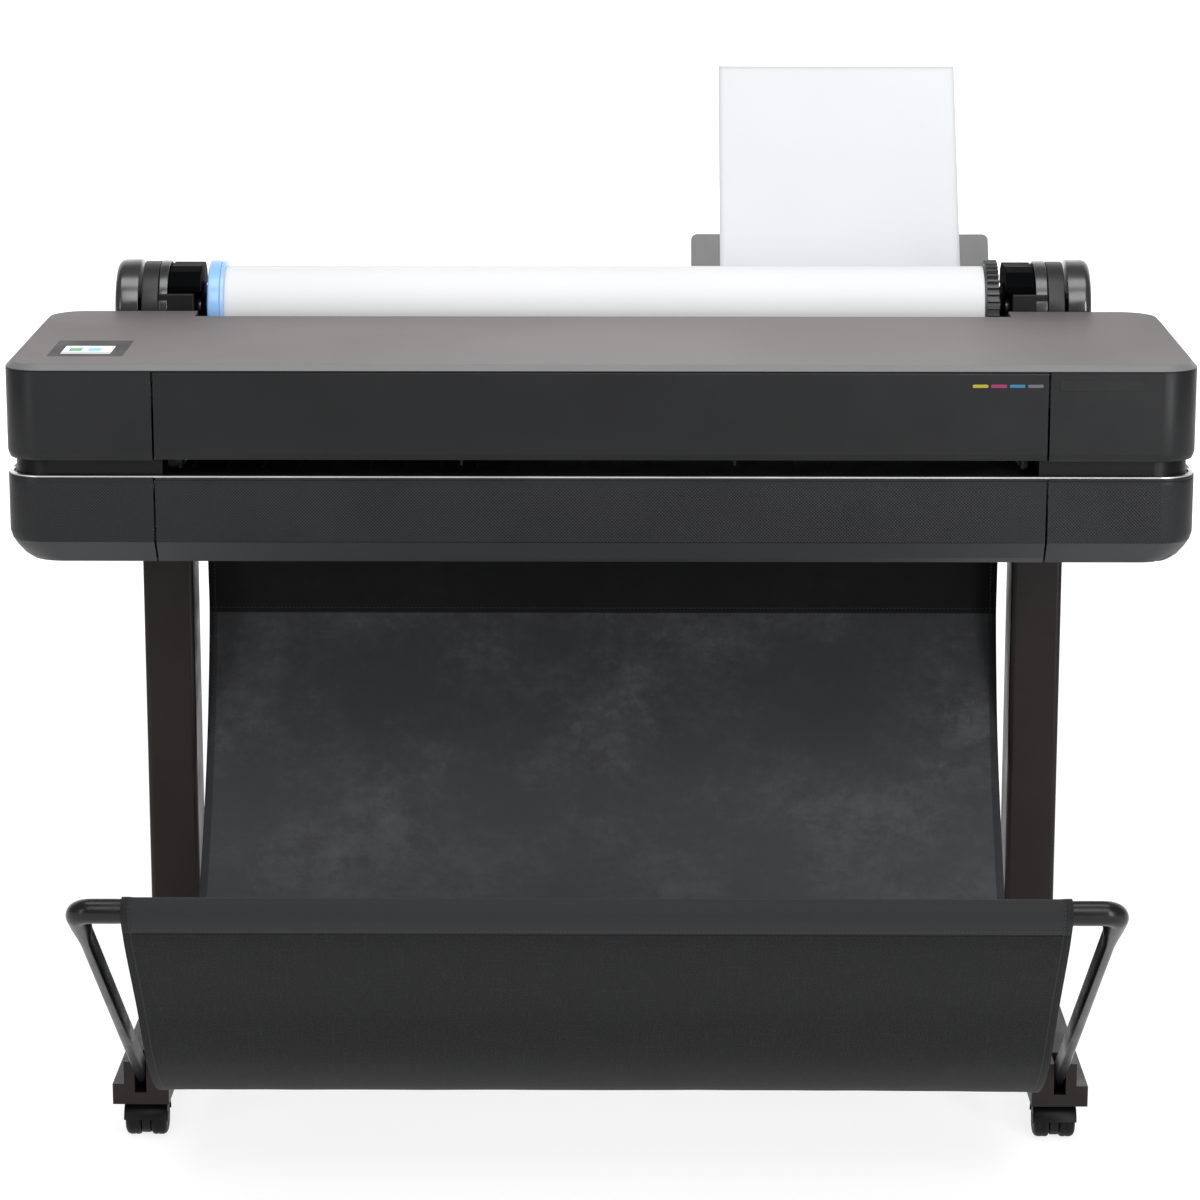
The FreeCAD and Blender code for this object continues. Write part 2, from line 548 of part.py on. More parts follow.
serv = box(516, 604, 72, 154, 729, 742)
serv = serv.cut(box(520, 600, 76, 150, 732, 743))
for xr in (532, 552, 572, 588):
    serv = serv.fuse(box(xr - 4, xr + 4, 84, 140, 732, 745))
serv = serv.fuse(box(596.5, 599.5, 84, 140, 732, 746.5))
serv = fuse(serv, box(499, 516, 151, 154, 729, 742), box(499, 504, 151, 160, 651, 742))
save("service_station", serv.removeSplitter())

# cartridge bay with four narrow slots, cartridges pushed in from the front
BAY_X0, SLOT_W, WEB = 502.0, 21.0, 3.0
bay_x1 = BAY_X0 + 4 * SLOT_W + 5 * WEB
bay = box(BAY_X0, bay_x1, 28, 150, 672, 727)
for k in range(4):
    x0 = BAY_X0 + WEB + k * (SLOT_W + WEB)
    bay = bay.cut(box(x0, x0 + SLOT_W, 27, 145, 675, 724))
save("cartridge_bay", bay)
for k, name in enumerate(("yellow", "magenta", "cyan", "black")):
    x0 = BAY_X0 + WEB + k * (SLOT_W + WEB)
    c = box(x0 + 0.4, x0 + SLOT_W - 0.4, 14, 138, 675.4, 723.5)
    c = c.cut(box(x0, x0 + SLOT_W, 13, 17, 706, 716))
    save("%s_cartridge" % name, c)

psu = box(-488, -330, 372, 466, 651, 716)
for i in range(8):
    psu = psu.cut(box(-470 + i * 17, -462 + i * 17, 371, 373, 665, 700))
save("power_supply", psu)
board = box(-310, -60, 362, 466, 657, 659)
for x0, x1, y0, y1, h in ((-290, -250, 380, 420, 6), (-230, -205, 385, 410, 12), (-180, -150, 400, 440, 9),
                          (-130, -90, 378, 398, 14), (-240, -120, 448, 460, 11)):
    board = board.fuse(box(x0, x1, y0, y1, 659, 659 + h))
for x, y in ((-304, 368), (-66, 368), (-304, 460), (-66, 460)):
    board = board.fuse(cyl_z(651, 657, x, y, 3.0))
save("main_board", board.removeSplitter())

# socket panel in the back wall of the left cover: mains inlet and two data sockets
panel_s = box(-622, -520, LOW_DEPTH, LOW_DEPTH + 1.6, 684, 724)
blk = box(-616, -586, LOW_DEPTH - 0.0, LOW_DEPTH + 4, 690, 718)
sock = fuse(panel_s, blk)
sock = sock.cut(box(-613, -589, LOW_DEPTH + 0.8, LOW_DEPTH + 6, 695, 713))
sock = sock.cut(box(-552, -538, LOW_DEPTH + 0.4, LOW_DEPTH + 6, 697, 710))
sock = sock.cut(box(-534, -528, LOW_DEPTH + 0.4, LOW_DEPTH + 6, 697, 710))
save("rear_sockets", sock)

# =============================================================== roll holder
spin = cyl_x(-554, 554, AXIS_Y, AXIS_Z, SPINDLE_R)
for sg in (-1, 1):
    d = Part.makeCylinder(58.0, 28.0, V(554.5, AXIS_Y, AXIS_Z), V(1, 0, 0))
    ed = [e for e in d.Edges if abs(e.Length - 2 * math.pi * 58) < 1 and abs(e.BoundBox.XMax - 582.5) < 0.1]
    d = d.makeFillet(9.0, ed)
    d = d.cut(cyl_x(579, 590, AXIS_Y, AXIS_Z, 30.0))
    d = fuse(d, cyl_x(553.5, 554.6, AXIS_Y, AXIS_Z, 20.0))
    collar = cyl_x(473.0, 478.5, AXIS_Y, AXIS_Z, 18.0)
    spin = fuse(spin, d if sg > 0 else mirror(d), collar if sg > 0 else mirror(collar))
save("roll_spindle", spin)

blue = cyl_x(-FL_X1, -FL_X0, AXIS_Y, AXIS_Z, FLANGE_R)
blue = blue.makeChamfer(2.0, [e for e in blue.Edges if abs(e.Length - 2 * math.pi * FLANGE_R) < 1])
blue = blue.cut(cyl_x(-FL_X1 - 1, -FL_X0 + 1, AXIS_Y, AXIS_Z, SPINDLE_R))
save("blue_roll_flange", blue)

ang_p = math.atan2(PINION_Z - AXIS_Z, PINION_Y - AXIS_Y)
g1 = gear(FL_X0 + 2, FL_X1, AXIS_Y, AXIS_Z, GEAR_TEETH, GEAR_PR, 2.0, 2.8, 0.11, 0.24, ang_p, 0)
g1 = fuse(g1, cyl_x(FL_X0, FL_X0 + 2, AXIS_Y, AXIS_Z, GEAR_PR - 3.2)).cut(
    cyl_x(FL_X0 - 1, FL_X1 + 1, AXIS_Y, AXIS_Z, SPINDLE_R))
save("geared_roll_flange", g1)
g2 = gear(FL_X0 + 4, FL_X1 - 2, PINION_Y, PINION_Z, PINION_TEETH, PINION_PR, 2.0, 2.8, 0.11, 0.24,
          ang_p + math.pi + math.pi / PINION_TEETH, 0)
g2 = fuse(g2, cyl_x(FL_X1 - 2, 499, PINION_Y, PINION_Z, 4.0))
g2 = g2.cut(box(FL_X0 + 3, FL_X0 + 5, PINION_Y - 1.5, PINION_Y + 1.5, PINION_Z - 6, PINION_Z + 6))
save("spindle_drive_gear", g2)

paper = cyl_x(-ROLL_HALF, ROLL_HALF, AXIS_Y, AXIS_Z, ROLL_R).cut(
    cyl_x(-ROLL_HALF - 1, ROLL_HALF + 1, AXIS_Y, AXIS_Z, 25.4))
save("paper_roll", paper)


def cradle(sign):
    # post on the deck, bearing block, and the round housing outside it
    s = box(485, 535, 388, 482, LOW_Z1, 852)
    blk = prism_yz([(384, 836), (384, 893), (392, 922), (402, 930), (470, 930), (482, 918), (482, 836)], 481, 527)
    armb = box(485, 535, 378, 388, 858, 892)
    barrel = cyl_x(527, 551, AXIS_Y, AXIS_Z, 57.0)
    s = fuse(s, blk, armb, barrel, cyl_x(479.0, 481, AXIS_Y, AXIS_Z, 26.0))
    s = s.cut(cyl_x(470, 570, AXIS_Y, AXIS_Z, SPINDLE_R + RUN))
    s = s.cut(cyl_x(481, 501, PINION_Y, PINION_Z, 4.0 + RUN)) if sign > 0 else s
    return s if sign > 0 else mirror(s)


save("roll_cradles", group([cradle(-1), cradle(1)]))

# ============================================================= sheet feeding
uy, uz = math.sin(SHEET_LEAN), math.cos(SHEET_LEAN)     # up along the sheet
ny, nz = uz, -uy                                        # out of its back


def slab(x0, x1, s0, s1, t0, t1):
    """Plate in the sheet's plane: s along the sheet from its lower edge, t behind it."""
    pts = [(SHEET_Y + uy * s + ny * t, SHEET_Z + uz * s + nz * t) for s, t in
           ((s0, t0), (s1, t0), (s1, t1), (s0, t1))]
    return prism_yz(pts, x0, x1)


sheet = slab(SHEET_X - SHEET_W / 2, SHEET_X + SHEET_W / 2, 0, SHEET_L, 0, 0.5)
save("loaded_sheet", sheet)
S0 = 20.0
sup = slab(SHEET_X - SUPPORT_W / 2, SHEET_X + SUPPORT_W / 2, S0, SUPPORT_L, 1.5, 6.5)
vert = [e for e in sup.Edges if abs(e.Length - 5.0) < 0.05 and e.CenterOfMass.z > 900]
sup = sup.makeFillet(8.0, vert)
tab_pts = [(LOW_DEPTH - 8, 797.0), (LOW_DEPTH + 14, 797.0), (LOW_DEPTH + 22, 824.0), (LOW_DEPTH + 8, 826.0)]
tab = prism_yz(tab_pts, SHEET_X - 150, SHEET_X + 150)
front_half = slab(0, 600, -60, 260, -80, 1.5)
sup = fuse(sup, tab.cut(front_half))
save("sheet_support", sup)
guide = slab(128, 142.6, 40, 128, -7, 0.9)
save("sheet_side_guide", guide)

print(len(saved), "nodes")
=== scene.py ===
import json
import math
import random
import bpy
import bmesh
import numpy as np
from mathutils import Vector, Matrix, noise


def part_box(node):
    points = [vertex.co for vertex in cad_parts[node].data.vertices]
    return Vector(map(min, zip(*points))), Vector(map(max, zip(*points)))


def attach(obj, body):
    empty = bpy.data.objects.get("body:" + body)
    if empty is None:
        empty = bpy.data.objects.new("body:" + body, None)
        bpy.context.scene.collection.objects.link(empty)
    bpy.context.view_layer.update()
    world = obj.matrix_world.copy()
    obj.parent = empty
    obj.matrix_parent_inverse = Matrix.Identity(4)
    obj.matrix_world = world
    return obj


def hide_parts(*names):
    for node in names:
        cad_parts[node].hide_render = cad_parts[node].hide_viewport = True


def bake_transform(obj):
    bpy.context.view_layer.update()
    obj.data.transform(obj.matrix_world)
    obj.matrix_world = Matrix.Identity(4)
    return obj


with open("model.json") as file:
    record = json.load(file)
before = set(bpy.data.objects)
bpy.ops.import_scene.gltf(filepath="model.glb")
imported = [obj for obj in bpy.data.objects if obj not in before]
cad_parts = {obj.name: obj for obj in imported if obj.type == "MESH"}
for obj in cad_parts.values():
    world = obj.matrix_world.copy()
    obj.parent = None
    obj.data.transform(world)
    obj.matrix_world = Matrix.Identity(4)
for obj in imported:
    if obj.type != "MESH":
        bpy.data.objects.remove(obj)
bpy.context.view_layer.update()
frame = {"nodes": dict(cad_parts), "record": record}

rng = random.Random(7)

# ---------------------------------------------------------------- reference
FRONT_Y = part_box("lower_front_cover")[0].y      # plane of the front faces


def W(x, y, z):
    """Layout millimetres (Y = 0 on the front face) to metres in the frame."""
    return Vector((x / 1000.0, y / 1000.0 + FRONT_Y, z / 1000.0))


# ------------------------------------------------------------------- camera
cam_data = bpy.data.cameras.new("camera")
cam = bpy.data.objects.new("camera", cam_data)
bpy.context.scene.collection.objects.link(cam)
cam_data.lens = 113.64
cam_data.sensor_width = 36.0
cam_data.clip_end = 60
cam.location = W(31.6, -4107.3, 1496.2)
cam.rotation_euler = (math.radians(90 - 12.218), 0.0, math.radians(0.446))
bpy.context.scene.camera = cam
bpy.context.scene.view_settings.view_transform = "Standard"


# ------------------------------------------------------------- curve helpers
def catmull(pts, n):
    """Evenly spaced points on a centripetal spline through pts."""
    P = [Vector(p) for p in pts]
    P = [P[0] * 2 - P[1]] + P + [P[-1] * 2 - P[-2]]
    dense = []
    for i in range(1, len(P) - 2):
        p0, p1, p2, p3 = P[i - 1:i + 3]
        t0 = 0.0
        t1 = t0 + (p1 - p0).length ** 0.5
        t2 = t1 + (p2 - p1).length ** 0.5
        t3 = t2 + (p3 - p2).length ** 0.5
        for k in range(40):
            t = t1 + (t2 - t1) * k / 40
            a1 = p0 * ((t1 - t) / (t1 - t0)) + p1 * ((t - t0) / (t1 - t0))
            a2 = p1 * ((t2 - t) / (t2 - t1)) + p2 * ((t - t1) / (t2 - t1))
            a3 = p2 * ((t3 - t) / (t3 - t2)) + p3 * ((t - t2) / (t3 - t2))
            b1 = a1 * ((t2 - t) / (t2 - t0)) + a2 * ((t - t0) / (t2 - t0))
            b2 = a2 * ((t3 - t) / (t3 - t1)) + a3 * ((t - t1) / (t3 - t1))
            dense.append(b1 * ((t2 - t) / (t2 - t1)) + b2 * ((t - t1) / (t2 - t1)))
    dense.append(P[-2])
    return resample(dense, n)


def resample(dense, n):
    L = [0.0]
    for a, b in zip(dense, dense[1:]):
        L.append(L[-1] + (b - a).length)
    out = []
    j = 0
    for k in range(n):
        s = L[-1] * k / (n - 1)
        while j < len(L) - 2 and L[j + 1] < s:
            j += 1
        t = (s - L[j]) / max(1e-9, L[j + 1] - L[j])
        out.append(dense[j].lerp(dense[j + 1], min(1, max(0, t))))
    return out


# ------------------------------------------------------- run of the basket cloth
BAR = (-487.0, 394.0)
PIV = (-55.0, 73.0)
BR = 12.0
ROD = (330.0, 632.0)
ROD_R = 6.0


def cloth_path():
    """(y, z) line of the sheet from the seam under the rear rod, round the rod, down, across and up round the bar."""
    pts = []
    r = ROD_R + 1.1
    pts.append((ROD[0] + 2.2, ROD[1] - 26))
    pts.append((ROD[0] + 0.5, ROD[1] - 16))
    a0, a1 = math.radians(205), math.radians(-15)
    for k in range(13):
        a = a0 + (a1 - a0) * k / 12
        pts.append((ROD[0] + r * math.cos(a), ROD[1] + r * math.sin(a)))
    pts += [(ROD[0] + 7.5, ROD[1] - 26), (340, 560), (342, 520)]
    pts += [(302, 400), (240, 300), (170, 216), (90, 144), (0, 106), (-70, 95), (-150, 98), (-245, 122), (-325, 176), (-400, 267)]
    d = Vector((BAR[0] + 400, BAR[1] - 266)).normalized()
    n = Vector((d.y * -1, d.x))          # towards the front
    if n.x > 0:
        n = -n
    R = BR + 1.3
    a0 = math.atan2(n.y, n.x) % (2 * math.pi)
    pts.append((BAR[0] + R * math.cos(a0) - d.x * 34, BAR[1] + R * math.sin(a0) - d.y * 34))
    for k in range(17):
        a = a0 - (math.pi * 1.12) * k / 16
        pts.append((BAR[0] + R * math.cos(a), BAR[1] + R * math.sin(a)))
    # back down to the seam, a little inside the first layer
    q = Vector((BAR[0], BAR[1])) + n * (R - 2.6) - d * 27
    pts.append((q.x, q.y))
    return pts


CLOTH = catmull([Vector((0, q[0], q[1])) for q in cloth_path()], 460)
CLOTH_L = [0.0]
for _a, _b in zip(CLOTH, CLOTH[1:]):
    CLOTH_L.append(CLOTH_L[-1] + (_b - _a).length)


def cloth_at(test):
    return next(CLOTH_L[i] / 1000.0 for i in range(len(CLOTH)) if test(CLOTH[i]) and CLOTH_L[i] > 60)


V_BAND = cloth_at(lambda q: q.z < 519.4)
V_BOTTOM = cloth_at(lambda q: q.y < 0.0)
V_SLEEVE = cloth_at(lambda q: q.y < -430.0 and q.z > 371.5)


# ------------------------------------------------------------ material tools
class Mat:
    """Small builder for node materials."""

    def __init__(self, name):
        self.m = bpy.data.materials.new(name)
        self.m.use_nodes = True
        self.t = self.m.node_tree
        self.n = self.t.nodes
        self.n.clear()
        self.out = self.n.new("ShaderNodeOutputMaterial")
        self.b = self.n.new("ShaderNodeBsdfPrincipled")
        self.t.links.new(self.b.outputs[0], self.out.inputs[0])
        self.tc = self.n.new("ShaderNodeTexCoord")

    def link(self, a, b):
        self.t.links.new(a, b)

    def set(self, **k):
        for key, v in k.items():
            self.b.inputs[key.replace("_", " ")].default_value = v

    def mapping(self, scale=(1, 1, 1), rot=(0, 0, 0), src="Object"):
        m = self.n.new("ShaderNodeMapping")
        m.inputs["Scale"].default_value = scale
        m.inputs["Rotation"].default_value = rot
        self.link(self.tc.outputs[src], m.inputs["Vector"])
        return m.outputs[0]

    def noise(self, vec, scale, detail=3.0, rough=0.5):
        x = self.n.new("ShaderNodeTexNoise")
        x.inputs["Scale"].default_value = scale
        x.inputs["Detail"].default_value = detail
        x.inputs["Roughness"].default_value = rough
        self.link(vec, x.inputs["Vector"])
        return x.outputs["Fac"]

    def voronoi(self, vec, scale):
        x = self.n.new("ShaderNodeTexVoronoi")
        x.inputs["Scale"].default_value = scale
        self.link(vec, x.inputs["Vector"])
        return x.outputs["Distance"]

    def wave(self, vec, scale, direction="X", profile="SIN"):
        x = self.n.new("ShaderNodeTexWave")
        x.wave_type = "BANDS"
        x.bands_direction = direction
        x.wave_profile = profile
        x.inputs["Scale"].default_value = scale
        x.inputs["Distortion"].default_value = 0.0
        self.link(vec, x.inputs["Vector"])
        return x.outputs["Fac"]

    def math(self, op, a, b=None, c=None, clamp=False):
        x = self.n.new("ShaderNodeMath")
        x.operation = op
        x.use_clamp = clamp
        for i, v in enumerate((a, b, c)):
            if v is None:
                continue
            if isinstance(v, (int, float)):
                x.inputs[i].default_value = v
            else:
                self.link(v, x.inputs[i])
        return x.outputs[0]

    def remap(self, v, a, b, c=0.0, d=1.0, smooth=False):
        x = self.n.new("ShaderNodeMapRange")
        x.interpolation_type = "SMOOTHSTEP" if smooth else "LINEAR"
        self.link(v, x.inputs["Value"])
        for k, q in (("From Min", a), ("From Max", b), ("To Min", c), ("To Max", d)):
            x.inputs[k].default_value = q
        return x.outputs["Result"]

    def mix(self, fac, a, b):
        x = self.n.new("ShaderNodeMix")
        x.data_type = "RGBA"
        x.clamp_factor = True
        if isinstance(fac, (int, float)):
            x.inputs[0].default_value = fac
        else:
            self.link(fac, x.inputs[0])
        for i, v in ((6, a), (7, b)):
            if isinstance(v, (tuple, list)):
                x.inputs[i].default_value = (*v[:3], 1.0)
            else:
                self.link(v, x.inputs[i])
        return x.outputs[2]

    def xyz(self, src="Object"):
        s = self.n.new("ShaderNodeSeparateXYZ")
        self.link(self.tc.outputs[src], s.inputs[0])
        return s.outputs[0], s.outputs[1], s.outputs[2]

    def bump(self, height, strength, dist, after=None):
        x = self.n.new("ShaderNodeBump")
        x.inputs["Strength"].default_value = strength
        x.inputs["Distance"].default_value = dist
        self.link(height, x.inputs["Height"])
        if after is not None:
            self.link(after, x.inputs["Normal"])
        return x.outputs[0]

    def normal(self, n):
        self.link(n, self.b.inputs["Normal"])

    def color(self, c):
        if isinstance(c, (tuple, list)):
            self.b.inputs["Base Color"].default_value = (*c[:3], 1.0)
        else:
            self.link(c, self.b.inputs["Base Color"])

    def rough(self, r):
        if isinstance(r, (int, float)):
            self.b.inputs["Roughness"].default_value = r
        else:
            self.link(r, self.b.inputs["Roughness"])

    def worn(self, base, light, amount=0.35):
        """Colour with lighter handled edges and slow tone variation."""
        g = self.n.new("ShaderNodeNewGeometry")
        e = self.remap(g.outputs["Pointiness"], 0.52, 0.60, 0.0, amount)
        v = self.noise(self.mapping(), 9.0, 4.0)
        e = self.math("MULTIPLY", e, self.remap(v, 0.35, 0.7, 0.2, 1.0))
        tone = self.mix(self.remap(v, 0.3, 0.7), tuple(c * 0.92 for c in base), tuple(c * 1.08 for c in base))
        return self.mix(e, tone, light)


def moulded(name, base, rough=0.5, grain=900.0, grain_h=0.00006, strength=0.35, spec=0.5, light=None, var=0.07, metallic=0.0, coat=0.0):
    m = Mat(name)
    vec = m.mapping()
    m.color(m.worn(base, light or tuple(min(1, c * 1.8 + 0.02) for c in base)))
    n1 = m.noise(vec, grain, 2.0)
    n2 = m.noise(vec, 22.0, 5.0)
    m.rough(m.remap(n2, 0.3, 0.7, rough - var, rough + var))
    m.set(Metallic=metallic, Specular_IOR_Level=spec, Coat_Weight=coat, Coat_Roughness=0.15)
    m.normal(m.bump(n1, strength, grain_h))
    return m


MATS = {}


def srgb(r, g, b):
    def f(v):
        v /= 255.0
        return v / 12.92 if v <= 0.04045 else ((v + 0.055) / 1.055) ** 2.4
    return (f(r), f(g), f(b))


# body plastic: fine mould grain; the lower unit carries a fine diamond knurl on its upright faces
MATS["body_black"] = moulded("body_black", (0.0096, 0.0101, 0.0110), 0.40, 700.0, 0.00006, 0.25, 0.22)


def knurled():
    m = Mat("body_black_knurled")
    vec = m.mapping()
    x, y, z = m.xyz()
    # |X| + Y stands in for the length round the front corners
    along = m.math("ADD", m.math("ABSOLUTE", x), y)
    k = 2 * math.pi / 0.0036
    pat = m.math("MULTIPLY", m.math("COSINE", m.math("MULTIPLY", along, k)), m.math("COSINE", m.math("MULTIPLY", z, k)))
    mask = m.remap(z, 0.6715, 0.6735, 0.0, 1.0, True)
    mask = m.math("MULTIPLY", mask, m.remap(z, 0.7360, 0.7380, 1.0, 0.0, True))
    # painted shade in the pits of the knurl and painted highlights on its raised studs
    pit_shade = m.math("MULTIPLY", m.remap(pat, 0.0, 0.9, 0.0, 1.0), mask)
    stud_highlight = m.math("MULTIPLY", m.remap(pat, 0.0, -0.9, 0.0, 1.0), mask)
    base = (0.0108, 0.0114, 0.0124)
    # the bevel under the knurl is smooth and a little lighter
    smooth = m.remap(z, 0.6708, 0.6716, 1.0, 0.0)
    col = m.mix(smooth, m.worn(base, (0.05, 0.05, 0.055)), (0.0430, 0.0440, 0.0465))
    col = m.mix(m.math("MULTIPLY", pit_shade, 0.75), col, (0.0030, 0.0032, 0.0036))
    col = m.mix(m.math("MULTIPLY", stud_highlight, 0.55), col, (0.034, 0.035, 0.037))
    # set-back band between the two units, painted near-black as painted shade in the recess
    neck = m.remap(z, 0.7436, 0.7444, 0.0, 1.0)
    col = m.mix(neck, col, (0.0022, 0.0024, 0.0027))
    m.color(col)
    n2 = m.noise(vec, 20.0, 4.0)
    m.rough(m.remap(n2, 0.3, 0.7, 0.36, 0.46))
    m.set(Specular_IOR_Level=0.2)
    b1 = m.bump(m.noise(vec, 700.0, 2.0), 0.2, 0.00005)
    m.normal(m.bump(m.math("MULTIPLY", pat, mask), 0.45, -0.0004, b1))
    return m


MATS["knurled"] = knurled()


def brown_top():
    m = Mat("top_brown")
    vec = m.mapping()
    n1 = m.noise(vec, 420.0, 3.0)
    n2 = m.noise(vec, 5.0, 4.0)
    base = (0.184, 0.1640, 0.1635)
    c = m.mix(m.remap(n2, 0.3, 0.7), tuple(v * 0.96 for v in base), tuple(v * 1.04 for v in base))
    x, y, z = m.xyz()
    # painted shade: the panel colour darkens towards both ends, gradually on the left and over the last stretch on the
    # right, standing in for light falling off there
    end_shade = m.math("MAXIMUM", m.remap(x, 0.15, -0.58, 0.0, 0.90), m.remap(x, 0.34, 0.57, 0.0, 1.0, True))
    c = m.mix(end_shade, c, tuple(v * 0.58 for v in base))
    c = m.mix(m.remap(n1, 0.40, 0.66, 0.0, 0.30), c, tuple(v * 0.80 for v in base))
    m.color(c)
    m.rough(m.remap(n2, 0.3, 0.7, 0.52, 0.60))
    m.set(Specular_IOR_Level=0.25)
    m.normal(m.bump(n1, 0.25, 0.00010))
    return m


MATS["top_brown"] = brown_top()


def rim():
    """Black on the walls; the upward-sloping bevel is painted grey as a painted highlight."""
    m = Mat("rim_black")
    vec = m.mapping()
    g = m.n.new("ShaderNodeNewGeometry")
    sep = m.n.new("ShaderNodeSeparateXYZ")
    m.link(g.outputs["True Normal"], sep.inputs[0])
    up = m.remap(sep.outputs[2], 0.35, 0.55)
    flat = m.remap(sep.outputs[2], 0.93, 0.985, 1.0, 0.35)
    n2 = m.noise(vec, 18.0, 4.0)
    black = m.mix(m.remap(n2, 0.3, 0.7), (0.0140, 0.0148, 0.0160), (0.0160, 0.0168, 0.0180))
    # painted highlight: grey where the faces slope upwards, weaker on flat tops
    m.color(m.mix(m.math("MULTIPLY", up, flat), black, (0.150, 0.148, 0.151)))
    m.rough(m.remap(n2, 0.3, 0.7, 0.38, 0.46))
    m.set(Specular_IOR_Level=0.25)
    m.normal(m.bump(m.noise(vec, 700.0, 2.0), 0.2, 0.00005))
    return m


MATS["rim"] = rim()
MATS["rear_black"] = moulded("rear_black", (0.014, 0.014, 0.015), 0.55, 600.0, 0.0001, 0.3, 0.25)
MATS["strip_silver"] = moulded("strip_silver", (0.50, 0.502, 0.505), 0.36, 600.0, 0.00002, 0.1, metallic=1.0)
MATS["stand_umber"] = moulded("stand_umber", (0.0096, 0.0057, 0.0057), 0.44, 600.0, 0.00007, 0.3, 0.22, light=(0.05, 0.042, 0.041))
MATS["zinc_steel"] = moulded("zinc_steel", (0.42, 0.43, 0.44), 0.34, 300.0, 0.00004, 0.3, metallic=1.0)
MATS["caster_black"] = moulded("caster_black", (0.0024, 0.0026, 0.0031), 0.42, 700.0, 0.00005, 0.25, 0.16, light=(0.012, 0.0125, 0.0135))
MATS["wheel_rubber"] = moulded("wheel_rubber", (0.0023, 0.0025, 0.0030), 0.5, 600.0, 0.00005, 0.3, 0.16, light=(0.012, 0.0125, 0.0135))
MATS["basket_metal"] = moulded("basket_metal", (0.0036, 0.0039, 0.0044), 0.30, 500.0, 0.00005, 0.25, 0.34, light=(0.02, 0.021, 0.023))
MATS["mechanism_plastic"] = moulded("mechanism_plastic", (0.03, 0.031, 0.034), 0.5)
MATS["pinch_rubber"] = moulded("pinch_rubber", (0.02, 0.02, 0.02), 0.7, 500.0, 0.0001, 0.5)
MATS["pulley_metal"] = moulded("pulley_metal", (0.48, 0.48, 0.49), 0.3, 400.0, 0.00004, 0.3, metallic=1.0)
MATS["ink_yellow"] = moulded("ink_yellow", (0.72, 0.52, 0.02), 0.45)
MATS["ink_magenta"] = moulded("ink_magenta", (0.5, 0.02, 0.2), 0.45)
MATS["ink_cyan"] = moulded("ink_cyan", (0.02, 0.3, 0.52), 0.45)
MATS["ink_black"] = moulded("ink_black", (0.02, 0.02, 0.02), 0.45)


# glossy black for the knobs and rings, satin for the drums, matt for the bearing blocks
MATS["cradle_black"] = moulded("cradle_black", (0.0080, 0.0083, 0.0092), 0.24, 500.0, 0.00004, 0.12, 1.0)
MATS["cradle_satin"] = moulded("cradle_satin", (0.0065, 0.0068, 0.0075), 0.44, 500.0, 0.00005, 0.15, 0.45)
MATS["cradle_arm"] = moulded("cradle_arm", (0.0052, 0.0055, 0.0060), 0.40, 500.0, 0.00005, 0.15, 0.25, light=(0.02, 0.021, 0.022))
MATS["cradle_dull"] = moulded("cradle_dull", (0.0010, 0.0012, 0.0015), 0.55, 500.0, 0.00005, 0.15, 0.02, light=(0.0012, 0.0014, 0.0017))
MATS["flange_blue"] = moulded("flange_blue", (0.260, 0.472, 0.785), 0.24, 500.0, 0.00004, 0.15, 0.5, light=(0.55, 0.72, 0.93))
MATS["flange_grey"] = moulded("flange_grey", (0.042, 0.043, 0.045), 0.38, 500.0, 0.00005, 0.2, 0.5)
MATS["support_grey"] = moulded("support_grey", (0.160, 0.161, 0.163), 0.5, 600.0, 0.00007, 0.3, 0.3)
MATS["display_frame"] = moulded("display_frame", (0.042, 0.041, 0.041), 0.5, 700.0, 0.00002, 0.1, 0.05)


def board():
    m = Mat("board_green")
    vec = m.mapping()
    v = m.voronoi(vec, 160.0)
    w = m.wave(vec, 120.0, "X")
    c = m.mix(m.remap(v, 0.02, 0.25), (0.01, 0.10, 0.04), (0.01, 0.16, 0.06))
    m.color(m.mix(m.remap(w, 0.7, 0.9, 0, 0.4), c, (0.02, 0.22, 0.09)))
    m.rough(0.35)
    m.normal(m.bump(w, 0.3, 0.0001))
    return m


MATS["board_green"] = board()


def paper(name, wound=False):
    m = Mat(name)
    vec = m.mapping()
    f = m.noise(vec, 900.0, 3.0)
    s = m.noise(vec, 4.0, 2.0)
    base, alt = ((0.665, 0.67, 0.685), (0.685, 0.687, 0.70)) if wound else ((0.575, 0.581, 0.600), (0.590, 0.596, 0.612))
    c = m.mix(m.remap(s, 0.35, 0.65), base, alt)
    c = m.mix(m.remap(f, 0.45, 0.7, 0, 0.12), c, (0.70, 0.71, 0.74))
    m.color(c)
    m.rough(0.72)
    m.set(Specular_IOR_Level=0.3, Sheen_Weight=0.08)
    h = f
    if wound:
        x, y, z = m.xyz()
        cy, cz = FRONT_Y + 0.433, 0.874
        dy = m.math("SUBTRACT", y, cy)
        dz = m.math("SUBTRACT", z, cz)
        r = m.math("SQRT", m.math("ADD", m.math("MULTIPLY", dy, dy), m.math("MULTIPLY", dz, dz)))
        ring = m.math("SINE", m.math("MULTIPLY", r, 2 * math.pi / 0.0011))
        h = m.math("ADD", f, m.math("MULTIPLY", ring, 0.15))
    m.normal(m.bump(h, 0.18, 0.00005))
    return m


MATS["paper_white"] = paper("paper_white", True)
MATS["paper_sheet"] = paper("paper_sheet")


